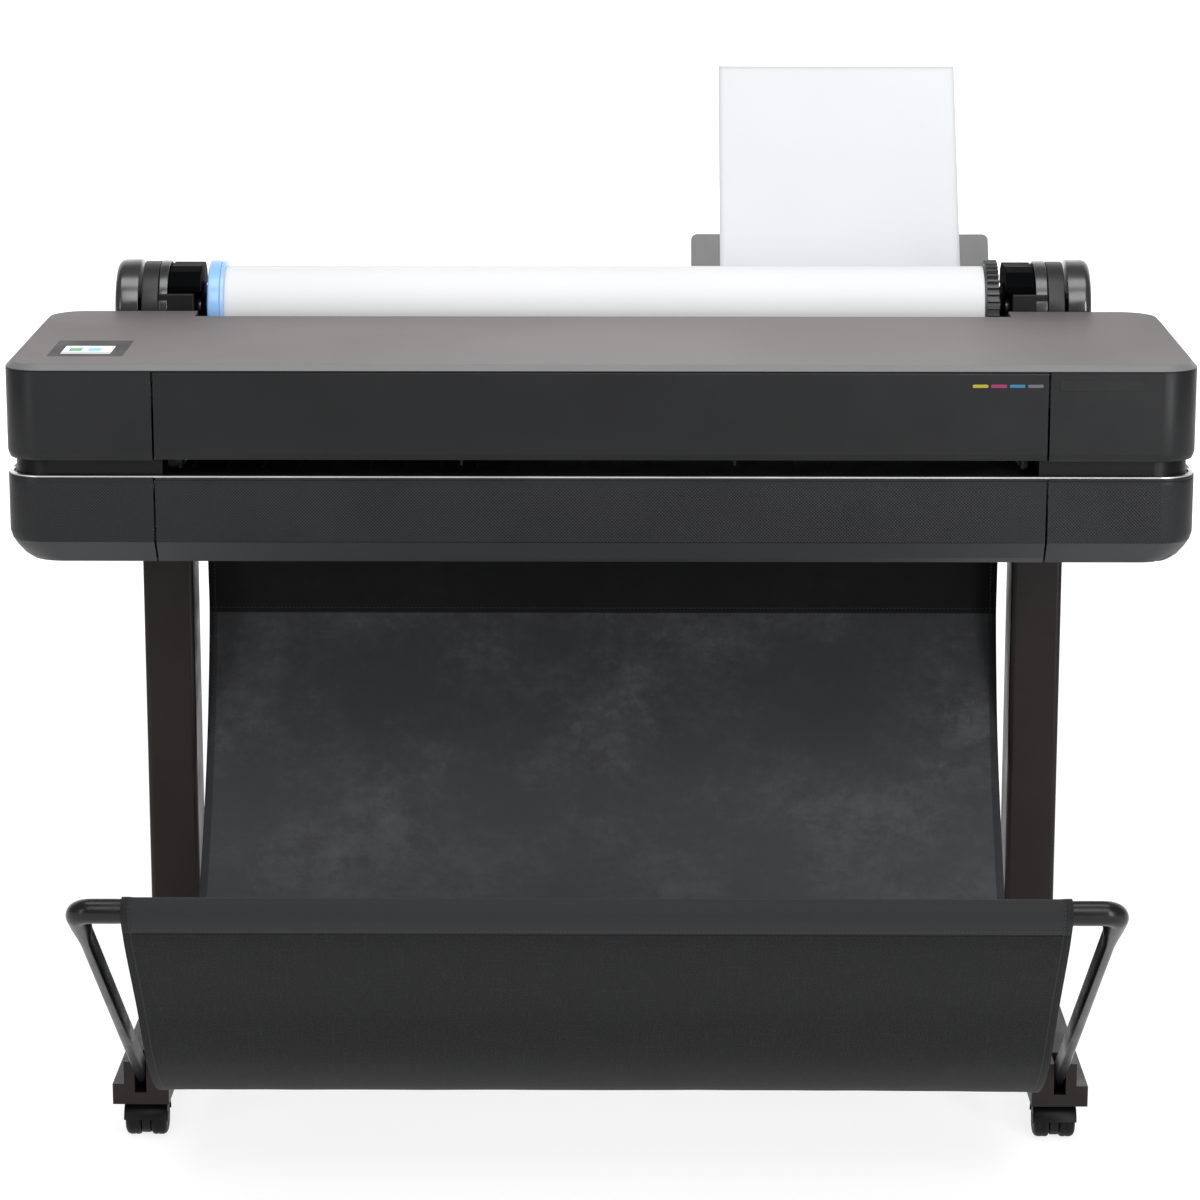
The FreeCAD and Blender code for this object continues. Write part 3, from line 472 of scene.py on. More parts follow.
def screen():
    """Lit panel with plain colour tiles and no lettering."""
    m = Mat("display_glass")
    lo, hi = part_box("display_screen")
    x, y, z = m.xyz()
    u = m.remap(x, lo.x, hi.x)
    v = m.remap(y, lo.y, hi.y)

    def between(s, a, b):
        return m.math("MULTIPLY", m.math("GREATER_THAN", s, a), m.math("LESS_THAN", s, b))

    def tile(a, b, c, d):
        return m.math("MULTIPLY", between(u, a, b), between(v, c, d))

    col = m.mix(tile(0.0, 1.0, 0.0, 0.30), (0.80, 0.82, 0.84), (0.36, 0.37, 0.38))
    col = m.mix(tile(0.12, 0.38, 0.34, 0.74), col, srgb(46, 132, 84))
    col = m.mix(tile(0.12, 0.38, 0.74, 0.92), col, srgb(176, 205, 190))
    col = m.mix(tile(0.50, 0.76, 0.34, 0.74), col, srgb(96, 168, 198))
    col = m.mix(tile(0.50, 0.76, 0.74, 0.92), col, srgb(190, 205, 220))
    m.color(col)
    m.link(col, m.b.inputs["Emission Color"])
    m.b.inputs["Emission Strength"].default_value = 0.35
    m.rough(0.3)
    m.set(Specular_IOR_Level=0.08)
    m.normal(m.bump(m.noise(m.mapping(), 300.0), 0.03, 0.00002))
    return m


MATS["display_glass"] = screen()


def cloth():
    """Dark woven polyester: weave, nap, lighter brushed patches, darker hems with stitching. UV is in metres."""
    m = Mat("basket_fabric")
    uvv = m.mapping(src="UV")
    u, v, _ = m.xyz("UV")
    w1 = m.wave(uvv, 210.0, "X")
    w2 = m.wave(uvv, 210.0, "Y")
    weave = m.math("ADD", m.math("MULTIPLY", w1, 0.5), m.math("MULTIPLY", w2, 0.5))
    slub = m.noise(m.mapping((26, 330, 1), src="UV"), 1.0, 3.0)
    slub2 = m.noise(m.mapping((330, 26, 1), src="UV"), 1.0, 3.0)
    grain = m.noise(m.mapping((420, 420, 1), src="UV"), 1.0, 2.0)
    big = m.noise(m.mapping((4.2, 5.5, 1), src="UV"), 1.0, 5.0, 0.60)
    mid = m.noise(m.mapping((21, 24, 1), src="UV"), 1.0, 5.0, 0.68)
    fine = m.noise(m.mapping((75, 75, 1), src="UV"), 1.0, 4.0, 0.7)
    base = (0.0052, 0.0056, 0.0062)
    light = (0.116, 0.118, 0.124)
    # brushed patches lie on the rear half; the rear half is also painted several times lighter than the front half of
    # the same cloth, as painted light and shade
    rear = m.remap(v, V_BOTTOM - 0.14, V_BOTTOM, 1.0, 0.0, True)
    patch = m.math("MULTIPLY", m.remap(big, 0.40, 0.68, 0.0, 1.0, True), m.remap(mid, 0.32, 0.66, 0.0, 1.0, True))
    patch = m.math("ADD", m.math("MULTIPLY", patch, 0.55), m.math("MULTIPLY", m.remap(fine, 0.45, 0.75, 0.0, 0.35), m.remap(big, 0.38, 0.6)))
    patch = m.math("MULTIPLY", patch, rear)
    # painted shade: the rear cloth is darker higher up, near the body, and lighter further down
    body_shade_fade = m.remap(v, V_BAND + 0.10, V_BAND + 0.32, 0.0, 1.0, True)
    c = m.mix(rear, base, m.mix(body_shade_fade, (0.0350, 0.0360, 0.0382), (0.0560, 0.0572, 0.0600)))
    c = m.mix(m.math("MULTIPLY", patch, 0.85), c, light)
    c = m.mix(m.remap(weave, 0.35, 0.75, 0.0, 0.18), c, (0.0075, 0.0078, 0.0085))
    c = m.mix(m.remap(grain, 0.45, 0.62, 0.0, 0.12), c, (0.050, 0.051, 0.054))
    c = m.mix(m.remap(slub, 0.55, 0.74, 0.0, 0.08), c, (0.050, 0.051, 0.054))
    c = m.mix(m.remap(slub2, 0.55, 0.74, 0.0, 0.08), c, (0.050, 0.051, 0.054))
    # top band, smoother and blacker, down to its seam: a black hem band, darkened further as painted shadow from the
    # body above
    band = m.remap(v, V_BAND - 0.001, V_BAND + 0.001, 1.0, 0.0, True)
    c = m.mix(m.math("MULTIPLY", band, 0.92), c, (0.0040, 0.0043, 0.0048))
    # sleeve over the bar
    sleeve = m.remap(v, V_SLEEVE - 0.001, V_SLEEVE + 0.001, 0.0, 1.0, True)
    c = m.mix(m.math("MULTIPLY", sleeve, 0.85), c, (0.0250, 0.0258, 0.0272))

    def line(coord, at, half):
        d = m.math("ABSOLUTE", m.math("SUBTRACT", coord, at))
        return m.remap(d, half * 0.5, half, 1.0, 0.0, True)

    seams = m.math("ADD", line(v, V_SLEEVE, 0.0022), line(v, V_BAND, 0.0020), clamp=True)
    c = m.mix(m.math("MULTIPLY", seams, 0.75), c, (0.0050, 0.0053, 0.0060))
    # side hems with a row of stitches
    edge = m.math("SUBTRACT", 0.4730, m.math("ABSOLUTE", u))
    hem = m.remap(edge, 0.0085, 0.0100, 1.0, 0.0, True)
    c = m.mix(m.math("MULTIPLY", hem, 0.50), c, (0.0080, 0.0083, 0.0090))
    dash_v = m.math("GREATER_THAN", m.math("SINE", m.math("MULTIPLY", v, 2 * math.pi / 0.0046)), -0.25)
    dash_u = m.math("GREATER_THAN", m.math("SINE", m.math("MULTIPLY", u, 2 * math.pi / 0.0046)), -0.25)
    st = m.math("MULTIPLY", line(edge, 0.0078, 0.0008), dash_v)
    st2 = m.math("MULTIPLY", m.math("ADD", line(v, V_SLEEVE + 0.0045, 0.0008), line(v, V_BAND - 0.0045, 0.0008), clamp=True), dash_u)
    stitch = m.math("ADD", st, st2, clamp=True)
    c = m.mix(m.math("MULTIPLY", stitch, 0.6), c, (0.042, 0.043, 0.046))
    m.color(c)
    m.rough(0.88)
    m.set(Specular_IOR_Level=0.15, Sheen_Weight=0.04, Sheen_Roughness=0.5)
    b = m.bump(m.math("ADD", weave, m.math("MULTIPLY", m.math("ADD", slub, slub2), 0.4)), 0.4, 0.00025)
    b = m.bump(fine, 0.10, 0.0008, b)
    b = m.bump(m.math("ADD", m.math("MULTIPLY", stitch, 0.5), seams), 0.7, -0.0008, b)
    m.normal(b)
    return m


MATS["basket_fabric"] = cloth()

# ------------------------------------------------------- CAD nodes: materials
SLOT = {s["node"]: s["material_slot"] for s in frame["record"]["subparts"]}
KNURL = {"left_lower_cover", "right_lower_cover", "lower_front_cover", "cartridge_door"}
BEVEL = {
    "left_lower_cover": 0.9, "right_lower_cover": 0.9, "lower_front_cover": 0.9, "cartridge_door": 0.9,
    "left_upper_cover": 0.9, "right_upper_cover": 0.9, "front_access_cover": 0.9, "top_rim": 0.5,
    "top_panel": 0.5, "rear_cover": 0.8, "left_foot": 1.2, "right_foot": 1.2, "left_leg": 1.0, "right_leg": 1.0,
    "stand_cross_brace": 1.5, "roll_cradles": 1.6, "sheet_support": 1.0, "sheet_side_guide": 0.9, "platen": 0.4,
    "print_carriage": 1.5, "cartridge_bay": 0.5, "service_station": 0.6, "power_supply": 0.8, "rear_sockets": 0.4,
    "display_bezel": 0.4, "roll_spindle": 0.8, "geared_roll_flange": 0.3, "spindle_drive_gear": 0.3,
    "yellow_cartridge": 0.8, "magenta_cartridge": 0.8, "cyan_cartridge": 0.8, "black_cartridge": 0.8,
    "drive_motors": 0.8, "carriage_rail": 0.4, "stand_fasteners": 0.5,
}


def soften(o, width_mm):
    w = o.modifiers.new("weld", "WELD")
    w.merge_threshold = 0.00002
    b = o.modifiers.new("edges", "BEVEL")
    b.width = width_mm / 1000.0
    b.segments = 2
    b.limit_method = "ANGLE"
    b.angle_limit = math.radians(32)
    b.use_clamp_overlap = True
    b.harden_normals = False
    b.miter_outer = "MITER_ARC"


for node, o in frame["nodes"].items():
    mat = MATS["knurled"] if node in KNURL else MATS["rim"] if node == "top_rim" else MATS[SLOT[node]]
    o.data.materials.clear()
    o.data.materials.append(mat.m)
    for p in o.data.polygons:
        p.material_index = 0
    if node in BEVEL:
        soften(o, BEVEL[node])


# ------------------------------------------------------------- mesh helpers
def make(name, verts, faces, mat, body=None, smooth=True, uv=None, angle=None):
    me = bpy.data.meshes.new(name)
    me.from_pydata([tuple(v) for v in verts], [], faces)
    me.validate()
    if uv is not None:
        lay = me.uv_layers.new(name="UVMap")
        for l in me.loops:
            lay.data[l.index].uv = uv[l.vertex_index]
    o = bpy.data.objects.new(name, me)
    bpy.context.scene.collection.objects.link(o)
    bm = bmesh.new()
    bm.from_mesh(me)
    bmesh.ops.recalc_face_normals(bm, faces=bm.faces)
    bm.to_mesh(me)
    bm.free()
    for p in me.polygons:
        p.use_smooth = smooth
    if angle:
        me.set_sharp_from_angle(angle=math.radians(angle))
    me.materials.append(mat.m if isinstance(mat, Mat) else mat)
    if body:
        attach(o, body)
    return o


def ring_mesh(rings, closed_path=False, caps=True):
    """Faces of a skin over rings of equal point count."""
    n = len(rings[0])
    verts = [p for r in rings for p in r]
    faces = []
    m = len(rings)
    for i in range(m if closed_path else m - 1):
        a, b = i * n, ((i + 1) % m) * n
        for j in range(n):
            k = (j + 1) % n
            faces.append((a + j, a + k, b + k, b + j))
    if caps and not closed_path:
        faces.append(tuple(range(n))[::-1])
        faces.append(tuple(range((m - 1) * n, m * n)))
    return verts, faces


def lathe_x(profile, cy, cz, seg=64, x0=0.0, sx=1.0):
    """profile is a list of (x, r) in mm round the X axis at (cy, cz) mm; closed by its end radii."""
    rings = []
    for x, r in profile:
        r = max(r, 0.02)
        rings.append([W(x0 + sx * x, cy + r * math.cos(2 * math.pi * k / seg), cz + r * math.sin(2 * math.pi * k / seg))
                      for k in range(seg)])
    return ring_mesh(rings)


def rounded_profile(pts, rad, steps=4):
    """Rounds the inner corners of an open (x, r) line."""
    out = [pts[0]]
    for i in range(1, len(pts) - 1):
        p0, p1, p2 = (Vector((*pts[i - 1], 0)), Vector((*pts[i], 0)), Vector((*pts[i + 1], 0)))
        a, b = p0 - p1, p2 - p1
        r = min(rad, a.length * 0.45, b.length * 0.45)
        a.normalize()
        b.normalize()
        s, e = p1 + a * r, p1 + b * r
        for k in range(steps + 1):
            t = k / steps
            q = s.lerp(p1, t).lerp(p1.lerp(e, t), t)
            out.append((q.x, q.y))
    out.append(pts[-1])
    return out


# ---------------------------------------------------------------- basket frame
ARM_CX = 515.0       # centre of an arm in its foot
ARM_TOP = 518.5      # and at the bar


def sleeve_zone(x):
    """True where the cloth sleeve hides the bar."""
    return abs(x) < 474.0


def basket_frame():
    """One bent tube: round along the front, flattened down each arm. The arms splay outwards to the bar."""
    d = Vector((0, PIV[0] - BAR[0], PIV[1] - BAR[1]))
    d.normalize()
    plane_n = Vector((0, -d.z, d.y))                # across the arm, in its own plane
    er = 13.5                                       # elbow radius on the centre line
    pts = []
    for sg in (-1, 1):
        half = []
        corner = Vector((sg * ARM_TOP, BAR[0], BAR[1]))
        start = Vector((sg * ARM_CX, PIV[0], PIV[1]))
        knee = start - d * 60.0
        down = (knee - corner).normalized()
        e0 = corner + down * er
        for k in range(5):
            half.append((start.lerp(knee, k / 5), -d, 0.0))
        for k in range(25):
            t = k / 24
            half.append((knee.lerp(e0, t), -down, max(0.0, (t - 0.86) / 0.14)))
        inw = Vector((-sg, 0, 0))
        for k in range(1, 15):
            a = math.pi / 2 * k / 14
            c = e0 + inw * er
            p = c - inw * er * math.cos(a) - down * er * math.sin(a)
            tan = (-down * math.cos(a) + inw * math.sin(a)).normalized()
            half.append((p, tan, 1.0))
        pts.append(half)
    left = pts[0]
    right = [(p, -t, r) for p, t, r in reversed(pts[1])]
    a, b = left[-1][0], right[0][0]
    mid = [(a.lerp(b, k / 40), Vector((1, 0, 0)), 1.0) for k in range(1, 40)]
    path = left + mid + right
    rings = []
    seg = 28
    up_ref = plane_n
    for p, t, r in path:
        side = up_ref - t * up_ref.dot(t)
        side.normalize()
        thin = t.cross(side).normalized()
        h_side = 12.5 + (BR - 12.5) * r
        h_thin = 6.0 + (BR - 6.0) * (r * r * (3 - 2 * r))
        if not sleeve_zone(p.x):
            h_side += 0.6 * r
            h_thin += 0.6 * r
        ring = []
        for k in range(seg):
            a = 2 * math.pi * k / seg
            # superellipse: squarer on the flat arm
            e = 0.55 + 0.45 * r
            cs, sn = math.cos(a), math.sin(a)
            u = math.copysign(abs(cs) ** e, cs) * h_side
            v = math.copysign(abs(sn) ** e, sn) * h_thin
            q = p + side * u + thin * v
            ring.append(W(q.x, q.y, q.z))
        rings.append(ring)
    v, f = ring_mesh(rings)
    o = make("basket_frame_tube", v, f, MATS["basket_metal"], "basket_frame")
    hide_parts("basket_bar", "basket_arms")
    # rounded eyes at the hinge pins
    for sg, nm in ((-1, "left"), (1, "right")):
        prof = rounded_profile([(-6.0, 4.2), (-6.0, 12.5), (6.0, 12.5), (6.0, 4.2)], 1.4)
        rings = []
        for x, r in prof:
            rings.append([W(sg * ARM_CX + x, PIV[0] + r * math.cos(2 * math.pi * k / 40), PIV[1] + r * math.sin(2 * math.pi * k / 40)) for k in range(40)])
        v, f = ring_mesh(rings, closed_path=True)
        e = make("basket_hinge_eye_%s" % nm, v, f, MATS["basket_metal"], "basket_frame")
    return o


basket_frame()


# ---------------------------------------------------------------- basket cloth
def basket_cloth():
    line, L = CLOTH, CLOTH_L
    half = 473.0
    nx = 156
    T = 1.1
    top, bot, uvt = [], [], []
    s_band, s_low, s_sl = V_BAND * 1000, V_BOTTOM * 1000, V_SLEEVE * 1000
    for i, p in enumerate(line):
        t = (line[min(i + 1, len(line) - 1)] - line[max(i - 1, 0)]).normalized()
        nrm = Vector((0, -t.z, t.y))            # left of travel: towards the floor side of the sling
        # free length between rod and bar: wrinkles grow there and vanish at both holds
        free = min(1.0, max(0.0, (L[i] - 75) / 180.0)) * min(1.0, max(0.0, (s_sl - 6 - L[i]) / 150.0))
        rear = min(1.0, max(0.0, (s_low - L[i]) / 250.0))
        for j in range(nx + 1):
            u = -1 + 2 * j / nx
            x = u * half
            q = Vector((x * 0.0036, L[i] * 0.0030, 1.7))
            h = noise.noise(q) * 3.0 * rear + noise.noise(q * 2.7 + Vector((3, 1, 0))) * (0.5 + 0.9 * rear)
            # slack folds running from the hems towards the middle
            h += math.sin(L[i] * 0.021 + 2.2 * noise.noise(Vector((x * 0.01, L[i] * 0.002, 4)))) * 1.1 * abs(u) ** 3 * rear
            h += noise.noise(Vector((x * 0.02, L[i] * 0.012, 9))) * 0.35
            # rolled side hem
            ed = half - abs(x)
            hem = 0.9 * (1.0 if ed < 9.0 else max(0.0, 1 - (ed - 9.0) / 1.5))
            # doubled cloth above the two seams
            if L[i] < s_band:
                hem += 0.7
            if L[i] > s_sl:
                hem += 0.5
            h = h * free
            # the cloth sags a little more in the middle of its width
            sag = -2.5 * (1 - u * u) * free * (0.35 + 0.65 * rear)
            c = p + nrm * (h + sag)
            th = (T / 2 + hem * 0.5)
            top.append(W(x, (c + nrm * th).y, (c + nrm * th).z))
            bot.append(W(x, (c - nrm * th).y, (c - nrm * th).z))
            uvt.append((x / 1000.0, L[i] / 1000.0))
    n = len(line)
    m = nx + 1
    verts = top + bot
    uv = uvt + uvt
    faces = []
    off = n * m
    for i in range(n - 1):
        for j in range(nx):
            a, b, c, d = i * m + j, i * m + j + 1, (i + 1) * m + j + 1, (i + 1) * m + j
            faces.append((a, b, c, d))
            faces.append((off + d, off + c, off + b, off + a))
    for i in range(n - 1):
        a, b = i * m, (i + 1) * m
        faces.append((a, b, off + b, off + a))
        a, b = i * m + nx, (i + 1) * m + nx
        faces.append((off + a, off + b, b, a))
    for j in range(nx):
        faces.append((j + 1, j, off + j, off + j + 1))
        a = (n - 1) * m + j
        faces.append((a, a + 1, off + a + 1, off + a))
    o = make("basket_cloth", verts, faces, MATS["basket_fabric"], None, True, uv)
    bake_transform(o)
    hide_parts("basket_rear_fabric", "basket_front_fabric")
    return o


basket_cloth()


# ---------------------------------------------------------------- loaded sheet
def loaded_sheet():
    lean = math.radians(33.0)
    uy, uz = math.sin(lean), math.cos(lean)
    ny, nz = -uz, uy            # towards the front
    y0, z0 = 483.0, 790.0
    n, m = 60, 40
    top, bot = [], []
    for i in range(n + 1):
        s = 420.0 * i / n
        for j in range(m + 1):
            u = -1 + 2 * j / m
            x = 292.0 + u * 148.5
            t = i / n
            # the free part curls very slightly forwards at its upper corners
            h = 0.6 + 3.2 * max(0, t - 0.45) ** 2 * (0.3 + u * u) + 0.5 * noise.noise(Vector((u * 1.1, t * 1.6, 3))) * t
            for lst, d in ((top, h + 0.13), (bot, h - 0.13)):
                lst.append(W(x, y0 + uy * s + ny * (d - 0.6), z0 + uz * s + nz * (d - 0.6)))
    verts = top + bot
    M = m + 1
    off = len(top)
    faces = []
    for i in range(n):
        for j in range(m):
            a, b, c, d = i * M + j, i * M + j + 1, (i + 1) * M + j + 1, (i + 1) * M + j
            faces += [(a, b, c, d), (off + d, off + c, off + b, off + a)]
    for i in range(n):
        a, b = i * M, (i + 1) * M
        faces.append((a, b, off + b, off + a))
        a, b = i * M + m, (i + 1) * M + m
        faces.append((off + a, off + b, b, a))
    for j in range(m):
        faces.append((j + 1, j, off + j, off + j + 1))
        a = n * M + j
        faces.append((a, a + 1, off + a + 1, off + a))
    o = make("loaded_paper_sheet", verts, faces, MATS["paper_sheet"], "root")
    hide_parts("loaded_sheet")


loaded_sheet()


# ------------------------------------------------------------ rounded tablets
def tablet(name, x0, x1, z0, z1, y_back, y_front, rad, mat, body, bev=0.35, steps=5):
    """Upright rounded plate on a front face, in layout mm, with a softened front edge."""
    def outline(inset):
        pts = []
        r = max(0.05, rad - inset)
        for cx, cz, a0 in ((x1 - rad, z1 - rad, 0), (x0 + rad, z1 - rad, 90), (x0 + rad, z0 + rad, 180), (x1 - rad, z0 + rad, 270)):
            for k in range(steps + 1):
                a = math.radians(a0 + 90 * k / steps)
                pts.append((cx + r * math.cos(a), cz + r * math.sin(a)))
        return pts
    rings = []
    for inset, y in ((0, y_back), (0, y_front + bev), (bev * 0.35, y_front + bev * 0.35), (bev, y_front)):
        rings.append([W(a, y, b) for a, b in outline(inset)])
    v, f = ring_mesh(rings)
    o = make(name, v, f, mat, body, False)
    return o


marks = (("mark_yellow", 408.0, 425.0, srgb(152, 142, 26)), ("mark_magenta", 428.0, 445.5, srgb(134, 24, 84)),
         ("mark_cyan", 448.5, 465.5, srgb(20, 104, 134)), ("mark_grey", 468.5, 485.5, srgb(84, 86, 89)))
for nm, a, b, c in marks:
    mm = moulded(nm, c, 0.4, 900.0, 0.00003, 0.2, light=tuple(q * 1.08 for q in c))
    tablet(nm, a, b, 845.2, 848.8, 0.4, -0.35, 1.2, mm, "access_cover", 0.15)
plate_mat = moulded("name_plate", (0.0085, 0.0089, 0.0096), 0.34, 1400.0, 0.00003, 0.2, 0.3, light=(0.0088, 0.0092, 0.0100))
tablet("name_plate_blank", 503.5, 597.0, 841.5, 852.5, 0.4, -0.5, 2.0, plate_mat, "root", 0.3)

# two small paper guides hang under the front cover
for i, xg in enumerate((-153.0, 148.0)):
    tablet("exit_guide_%d" % i, xg - 1.5, xg + 1.5, 757.5, 765.0, 9.0, 2.0, 1.2, MATS["caster_black"], "access_cover", 0.3)


# ------------------------------------------------------------------- casters
def casters():
    for side, sg in (("left", -1), ("right", 1)):
        for end, cy, way in (("front", -38.0, -1), ("rear", 492.0, 1)):
            cx = sg * 511.0
            wy, wz, R = cy + way * 12.0, 20.0, 20.0
            body = "%s_%s_wheels" % (side, end)
            half = [(-23.5, 0.05), (-23.5, 6.0), (-22.6, 6.6), (-22.6, 11.5), (-23.3, 12.2), (-23.3, 15.4), (-21.4, 18.6), (-18.2, 20.0),
                    (-13.6, 20.0), (-13.2, 19.5), (-12.4, 19.5), (-12.0, 20.0), (-8.2, 20.0), (-5.9, 18.4), (-5.7, 14.0), (-5.7, 4.0)]
            prof = half + [(-x, r) for x, r in reversed(half)]
            v, f = lathe_x(rounded_profile(prof, 0.8, 3), wy, wz, 72, cx)
            o = make("%s_%s_caster_wheel_pair" % (side, end), v, f, MATS["wheel_rubber"], body, angle=35)
            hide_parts("%s_%s_caster_wheels" % (side, end))
            # hood over the wheels: a rounded shell with a neck
            rings = []
            hw = 5.2
            # the body between the wheels: a disc sector joined to the top plate
            outline = []
            for k in range(30):
                a = math.radians(-60 + 300 * k / 29) if way > 0 else math.radians(240 - 300 * k / 29)
                outline.append((wy + 18.2 * math.cos(a), wz + 18.2 * math.sin(a)))
            for x, s in ((-hw, 0.94), (-hw + 0.6, 1.0), (hw - 0.6, 1.0), (hw, 0.94)):
                rings.append([W(cx + x, wy + (yy - wy) * s, wz + (zz - wz) * s) for yy, zz in outline])
            v, f = ring_mesh(rings)
            fb = "%s_%s_fork" % (side, end)
            o = make("%s_%s_caster_hood" % (side, end), v, f, MATS["caster_black"], fb, angle=35)
            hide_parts("%s_%s_caster_fork" % (side, end))
            # fender over the top of both wheels
            prof = []
            for k in range(25):
                a = math.radians(8 + 164 * k / 24)
                prof.append((21.0, a))
            rings = []
            for x, grow in ((-24.3, 0.0), (-23.6, 0.9), (-22.4, 1.5), (22.4, 1.5), (23.6, 0.9), (24.3, 0.0)):
                ring = [W(cx + x, wy + (21.0 + grow) * math.cos(a), wz + (21.0 + grow) * math.sin(a)) for _, a in prof]
                ring += [W(cx + x, wy + 20.5 * math.cos(a), wz + 20.5 * math.sin(a)) for _, a in reversed(prof)]
                rings.append(ring)
            v, f = ring_mesh(rings)
            o = make("%s_%s_caster_fender" % (side, end), v, f, MATS["caster_black"], fb, angle=35)
            # swivel head: stepped round neck under the foot
            prof = [(30.0, 4.6), (36.5, 4.8), (37.8, 8.0), (40.8, 9.0), (41.0, 15.2), (42.4, 15.2), (42.5, 5.2), (53.0, 5.0)]
            prof = rounded_profile(prof, 0.7, 3)
            rings = [[W(cx + r * math.cos(2 * math.pi * k / 48), cy + r * math.sin(2 * math.pi * k / 48), z) for k in range(48)] for z, r in prof]
            v, f = ring_mesh(rings)
            o = make("%s_%s_caster_head" % (side, end), v, f, MATS["zinc_steel"] if False else MATS["caster_black"], fb, angle=35)


casters()


# -------------------------------------------------------------- blue flange
def blue_flange():
    cy, cz = 433.0, 874.0
    x_in, x_out = -456.5, -472.5
    prof = [(x_in, 12.1), (x_in, 49.0), (x_in - 0.4, 54.6), (x_in - 2.0, 57.0), (x_out + 2.0, 57.0), (x_out + 0.4, 55.0),
            (x_out, 52.0), (x_out + 3.5, 50.5), (x_out + 3.5, 22.0), (x_out, 20.5), (x_out, 12.1)]
    prof = rounded_profile(prof, 0.8, 3)
    seg = 96
    rings = [[W(x, cy + r * math.cos(2 * math.pi * k / seg), cz + r * math.sin(2 * math.pi * k / seg)) for k in range(seg)] for x, r in prof]
    v, f = ring_mesh(rings, closed_path=True)
    o = make("blue_flange_ring", v, f, MATS["flange_blue"], "roll", angle=35)
    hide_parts("blue_roll_flange")
    lip = [(x_in - 0.5, 50.4), (x_in - 0.5, 56.4), (-453.4, 56.4), (-452.4, 55.4), (-452.4, 50.4)]
    rings = [[W(x, cy + r * math.cos(2 * math.pi * k / seg), cz + r * math.sin(2 * math.pi * k / seg)) for k in range(seg)] for x, r in lip]
    v, f = ring_mesh(rings, closed_path=True)
    o = make("blue_flange_lip", v, f, MATS["flange_blue"], "roll", angle=35)
    # spokes let into the outer face
    verts, faces = [], []
    for k in range(8):
        a = math.radians(45 * k + 10)
        c, s = math.cos(a), math.sin(a)
        for x, hw in ((x_out + 3.6, 2.4), (x_out + 0.6, 1.9)):
            for r in (20.0, 51.0):
                for q in (-hw, hw):
                    verts.append(W(x, cy + r * c - q * s, cz + r * s + q * c))
        b = 8 * k
        faces += [(b, b + 1, b + 3, b + 2), (b + 4, b + 6, b + 7, b + 5), (b, b + 2, b + 6, b + 4), (b + 1, b + 5, b + 7, b + 3),
                  (b, b + 4, b + 5, b + 1), (b + 2, b + 3, b + 7, b + 6)]
    o = make("blue_flange_spokes", verts, faces, MATS["flange_blue"], "roll", smooth=False)


blue_flange()


def box_faces(x0, x1, pts):
    """Closed prism over a Y-Z outline in mm."""
    n = len(pts)
    v = [W(x0, y, z) for y, z in pts] + [W(x1, y, z) for y, z in pts]
    f = [tuple(range(n)), tuple(range(2 * n - 1, n - 1, -1))]
    f += [(k, k + n, (k + 1) % n + n, (k + 1) % n) for k in range(n)]
    return v, f


def drum(x0, x1, r, bore, rad, seg=96):
    prof = rounded_profile([(x0, bore), (x0, r), (x1, r), (x1, bore)], rad, 4)
    rings = [[W(x, 433.0 + q * math.cos(2 * math.pi * k / seg), 874.0 + q * math.sin(2 * math.pi * k / seg)) for k in range(seg)]
             for x, q in prof]
    return ring_mesh(rings, closed_path=True)


def cradles():
    """Post, bearing block with its sloping hood, front arm, polished ring, satin drum and hub on each side."""
    for side, sg, xi, xo in (("left", -1, 481.4, 519.0), ("right", 1, 481.4, 515.4)):
        parts = (
            ("post", "cradle_dull", box_faces(sg * 485.0, sg * 535.0, [(388, 744.0), (388, 852), (482, 852), (482, 744.0)]), 1.0, False),
            ("block", "cradle_dull", box_faces(sg * (xi + 6), sg * xo, [(389, 838), (389, 899), (480, 899), (480, 838)]), 1.0, False),
            ("hood", "cradle_dull", box_faces(sg * xi, sg * xo, [(386.5, 897.5), (386.5, 906), (391, 912), (404, 920.6), (420, 925.4), (466, 925.4),
                                                                (478, 916), (481, 906), (481, 897.5)]), 1.2, False),
            ("arm", "cradle_arm", box_faces(sg * 488.0, sg * 530.0, [(378.5, 858), (378.5, 897), (391, 897), (391, 858)]), 1.4, False),
            ("ring", "cradle_black", drum(sg * (xo + 0.4), sg * 530.0, 56.6, 12.4, 1.2), 0, True),
            ("drum", "cradle_satin", drum(sg * 530.6, sg * 550.6, 56.0, 12.4, 1.6), 0, True),
            ("hub", "cradle_black", drum(sg * 482.0, sg * (xi + 6.4), 22.5, 12.4, 1.0), 0, True),
            ("plate", "cradle_dull", drum(sg * 479.2, sg * 482.2, 31.0, 12.4, 0.6), 0, True),
        )
        for nm, mat, (v, f), bev, sm in parts:
            o = make("%s_cradle_%s" % (side, nm), v, f, MATS[mat], "root", smooth=sm, angle=35 if sm else None)
            if bev:
                soften(o, bev)
            if nm == "block":
                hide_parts("roll_cradles")


cradles()

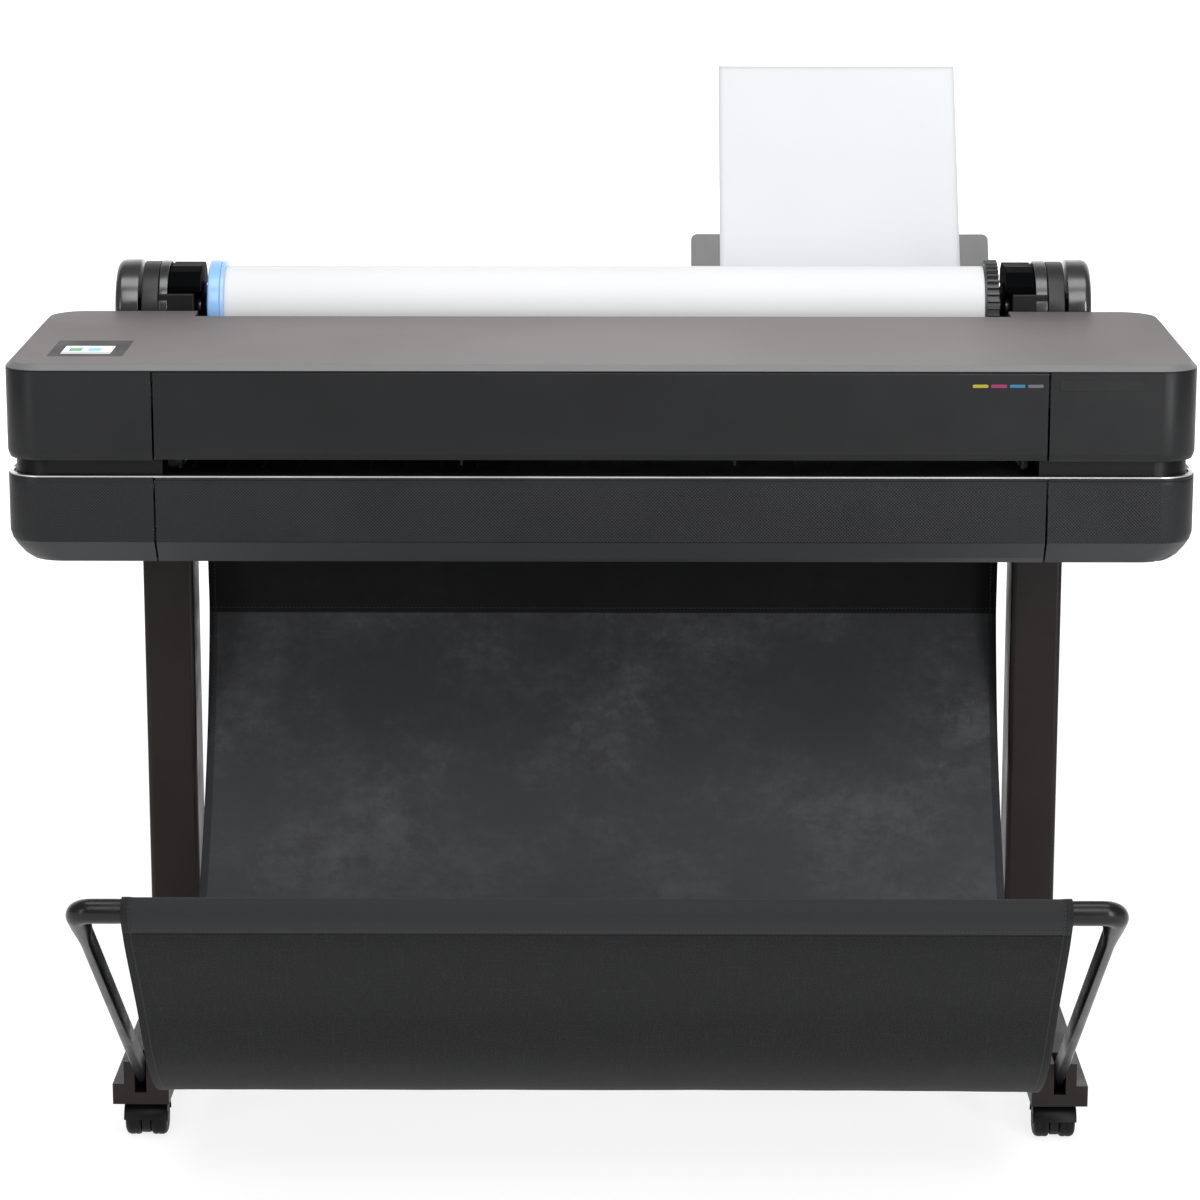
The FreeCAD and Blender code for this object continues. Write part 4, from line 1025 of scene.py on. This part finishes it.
# ---------------------------------------------------------------- the stage
def studio():
    m = Mat("floor_white")
    m.color(m.mix(m.remap(m.noise(m.mapping(), 3.0), 0.3, 0.7), (0.36, 0.36, 0.36), (0.37, 0.37, 0.37)))
    m.rough(0.9)
    m.set(Specular_IOR_Level=0.05)
    m.b.inputs["Emission Color"].default_value = (1, 1, 1, 1)
    m.b.inputs["Emission Strength"].default_value = 0.80
    s = 12.0
    # floor that sweeps up behind the object
    prof = [(-9.0, 0.0), (4.5, 0.0)]
    for k in range(1, 13):
        a = math.pi / 2 * k / 12
        prof.append((4.5 + 2.5 * math.sin(a), 2.5 - 2.5 * math.cos(a)))
    prof.append((7.0, 9.0))
    v, f = [], []
    for y, z in prof:
        v += [(-s, y, z - 0.0005), (s, y, z - 0.0005)]
    for i in range(len(prof) - 1):
        f.append((2 * i, 2 * i + 1, 2 * i + 3, 2 * i + 2))
    o = make("studio_floor", v, f, m)

    def area(name, loc, target, size, power, sy=None, color=(1, 1, 1)):
        d = bpy.data.lights.new(name, "AREA")
        d.shape = "RECTANGLE"
        d.size = size
        d.size_y = sy or size
        d.energy = power
        d.color = color
        l = bpy.data.objects.new(name, d)
        bpy.context.scene.collection.objects.link(l)
        l.location = loc
        l.rotation_euler = (Vector(target) - Vector(loc)).to_track_quat("-Z", "Y").to_euler()
        return l

    area("key_front", (0.35, -3.35, 3.45), (0, 0, 0.8), 3.6, 84, 1.9)
    area("top", (0.06, -0.36, 2.55), (0.06, -0.05, 0.8), 2.6, 24, 0.8)
    area("strip_right", (2.45, -3.75, 1.25), (0.55, 0, 0.6), 0.7, 70, 2.3)
    area("strip_left", (-2.9, -3.2, 1.25), (-0.55, 0, 0.6), 0.7, 20, 2.3)
    area("back_wash", (0, 4.3, 3.6), (0, 7.0, 1.4), 7.0, 330, 2.2)
    w = bpy.data.worlds.new("world")
    bpy.context.scene.world = w
    w.use_nodes = True
    bg = w.node_tree.nodes["Background"]
    bg.inputs[0].default_value = (1, 1, 1, 1)
    bg.inputs[1].default_value = 0.35


studio()
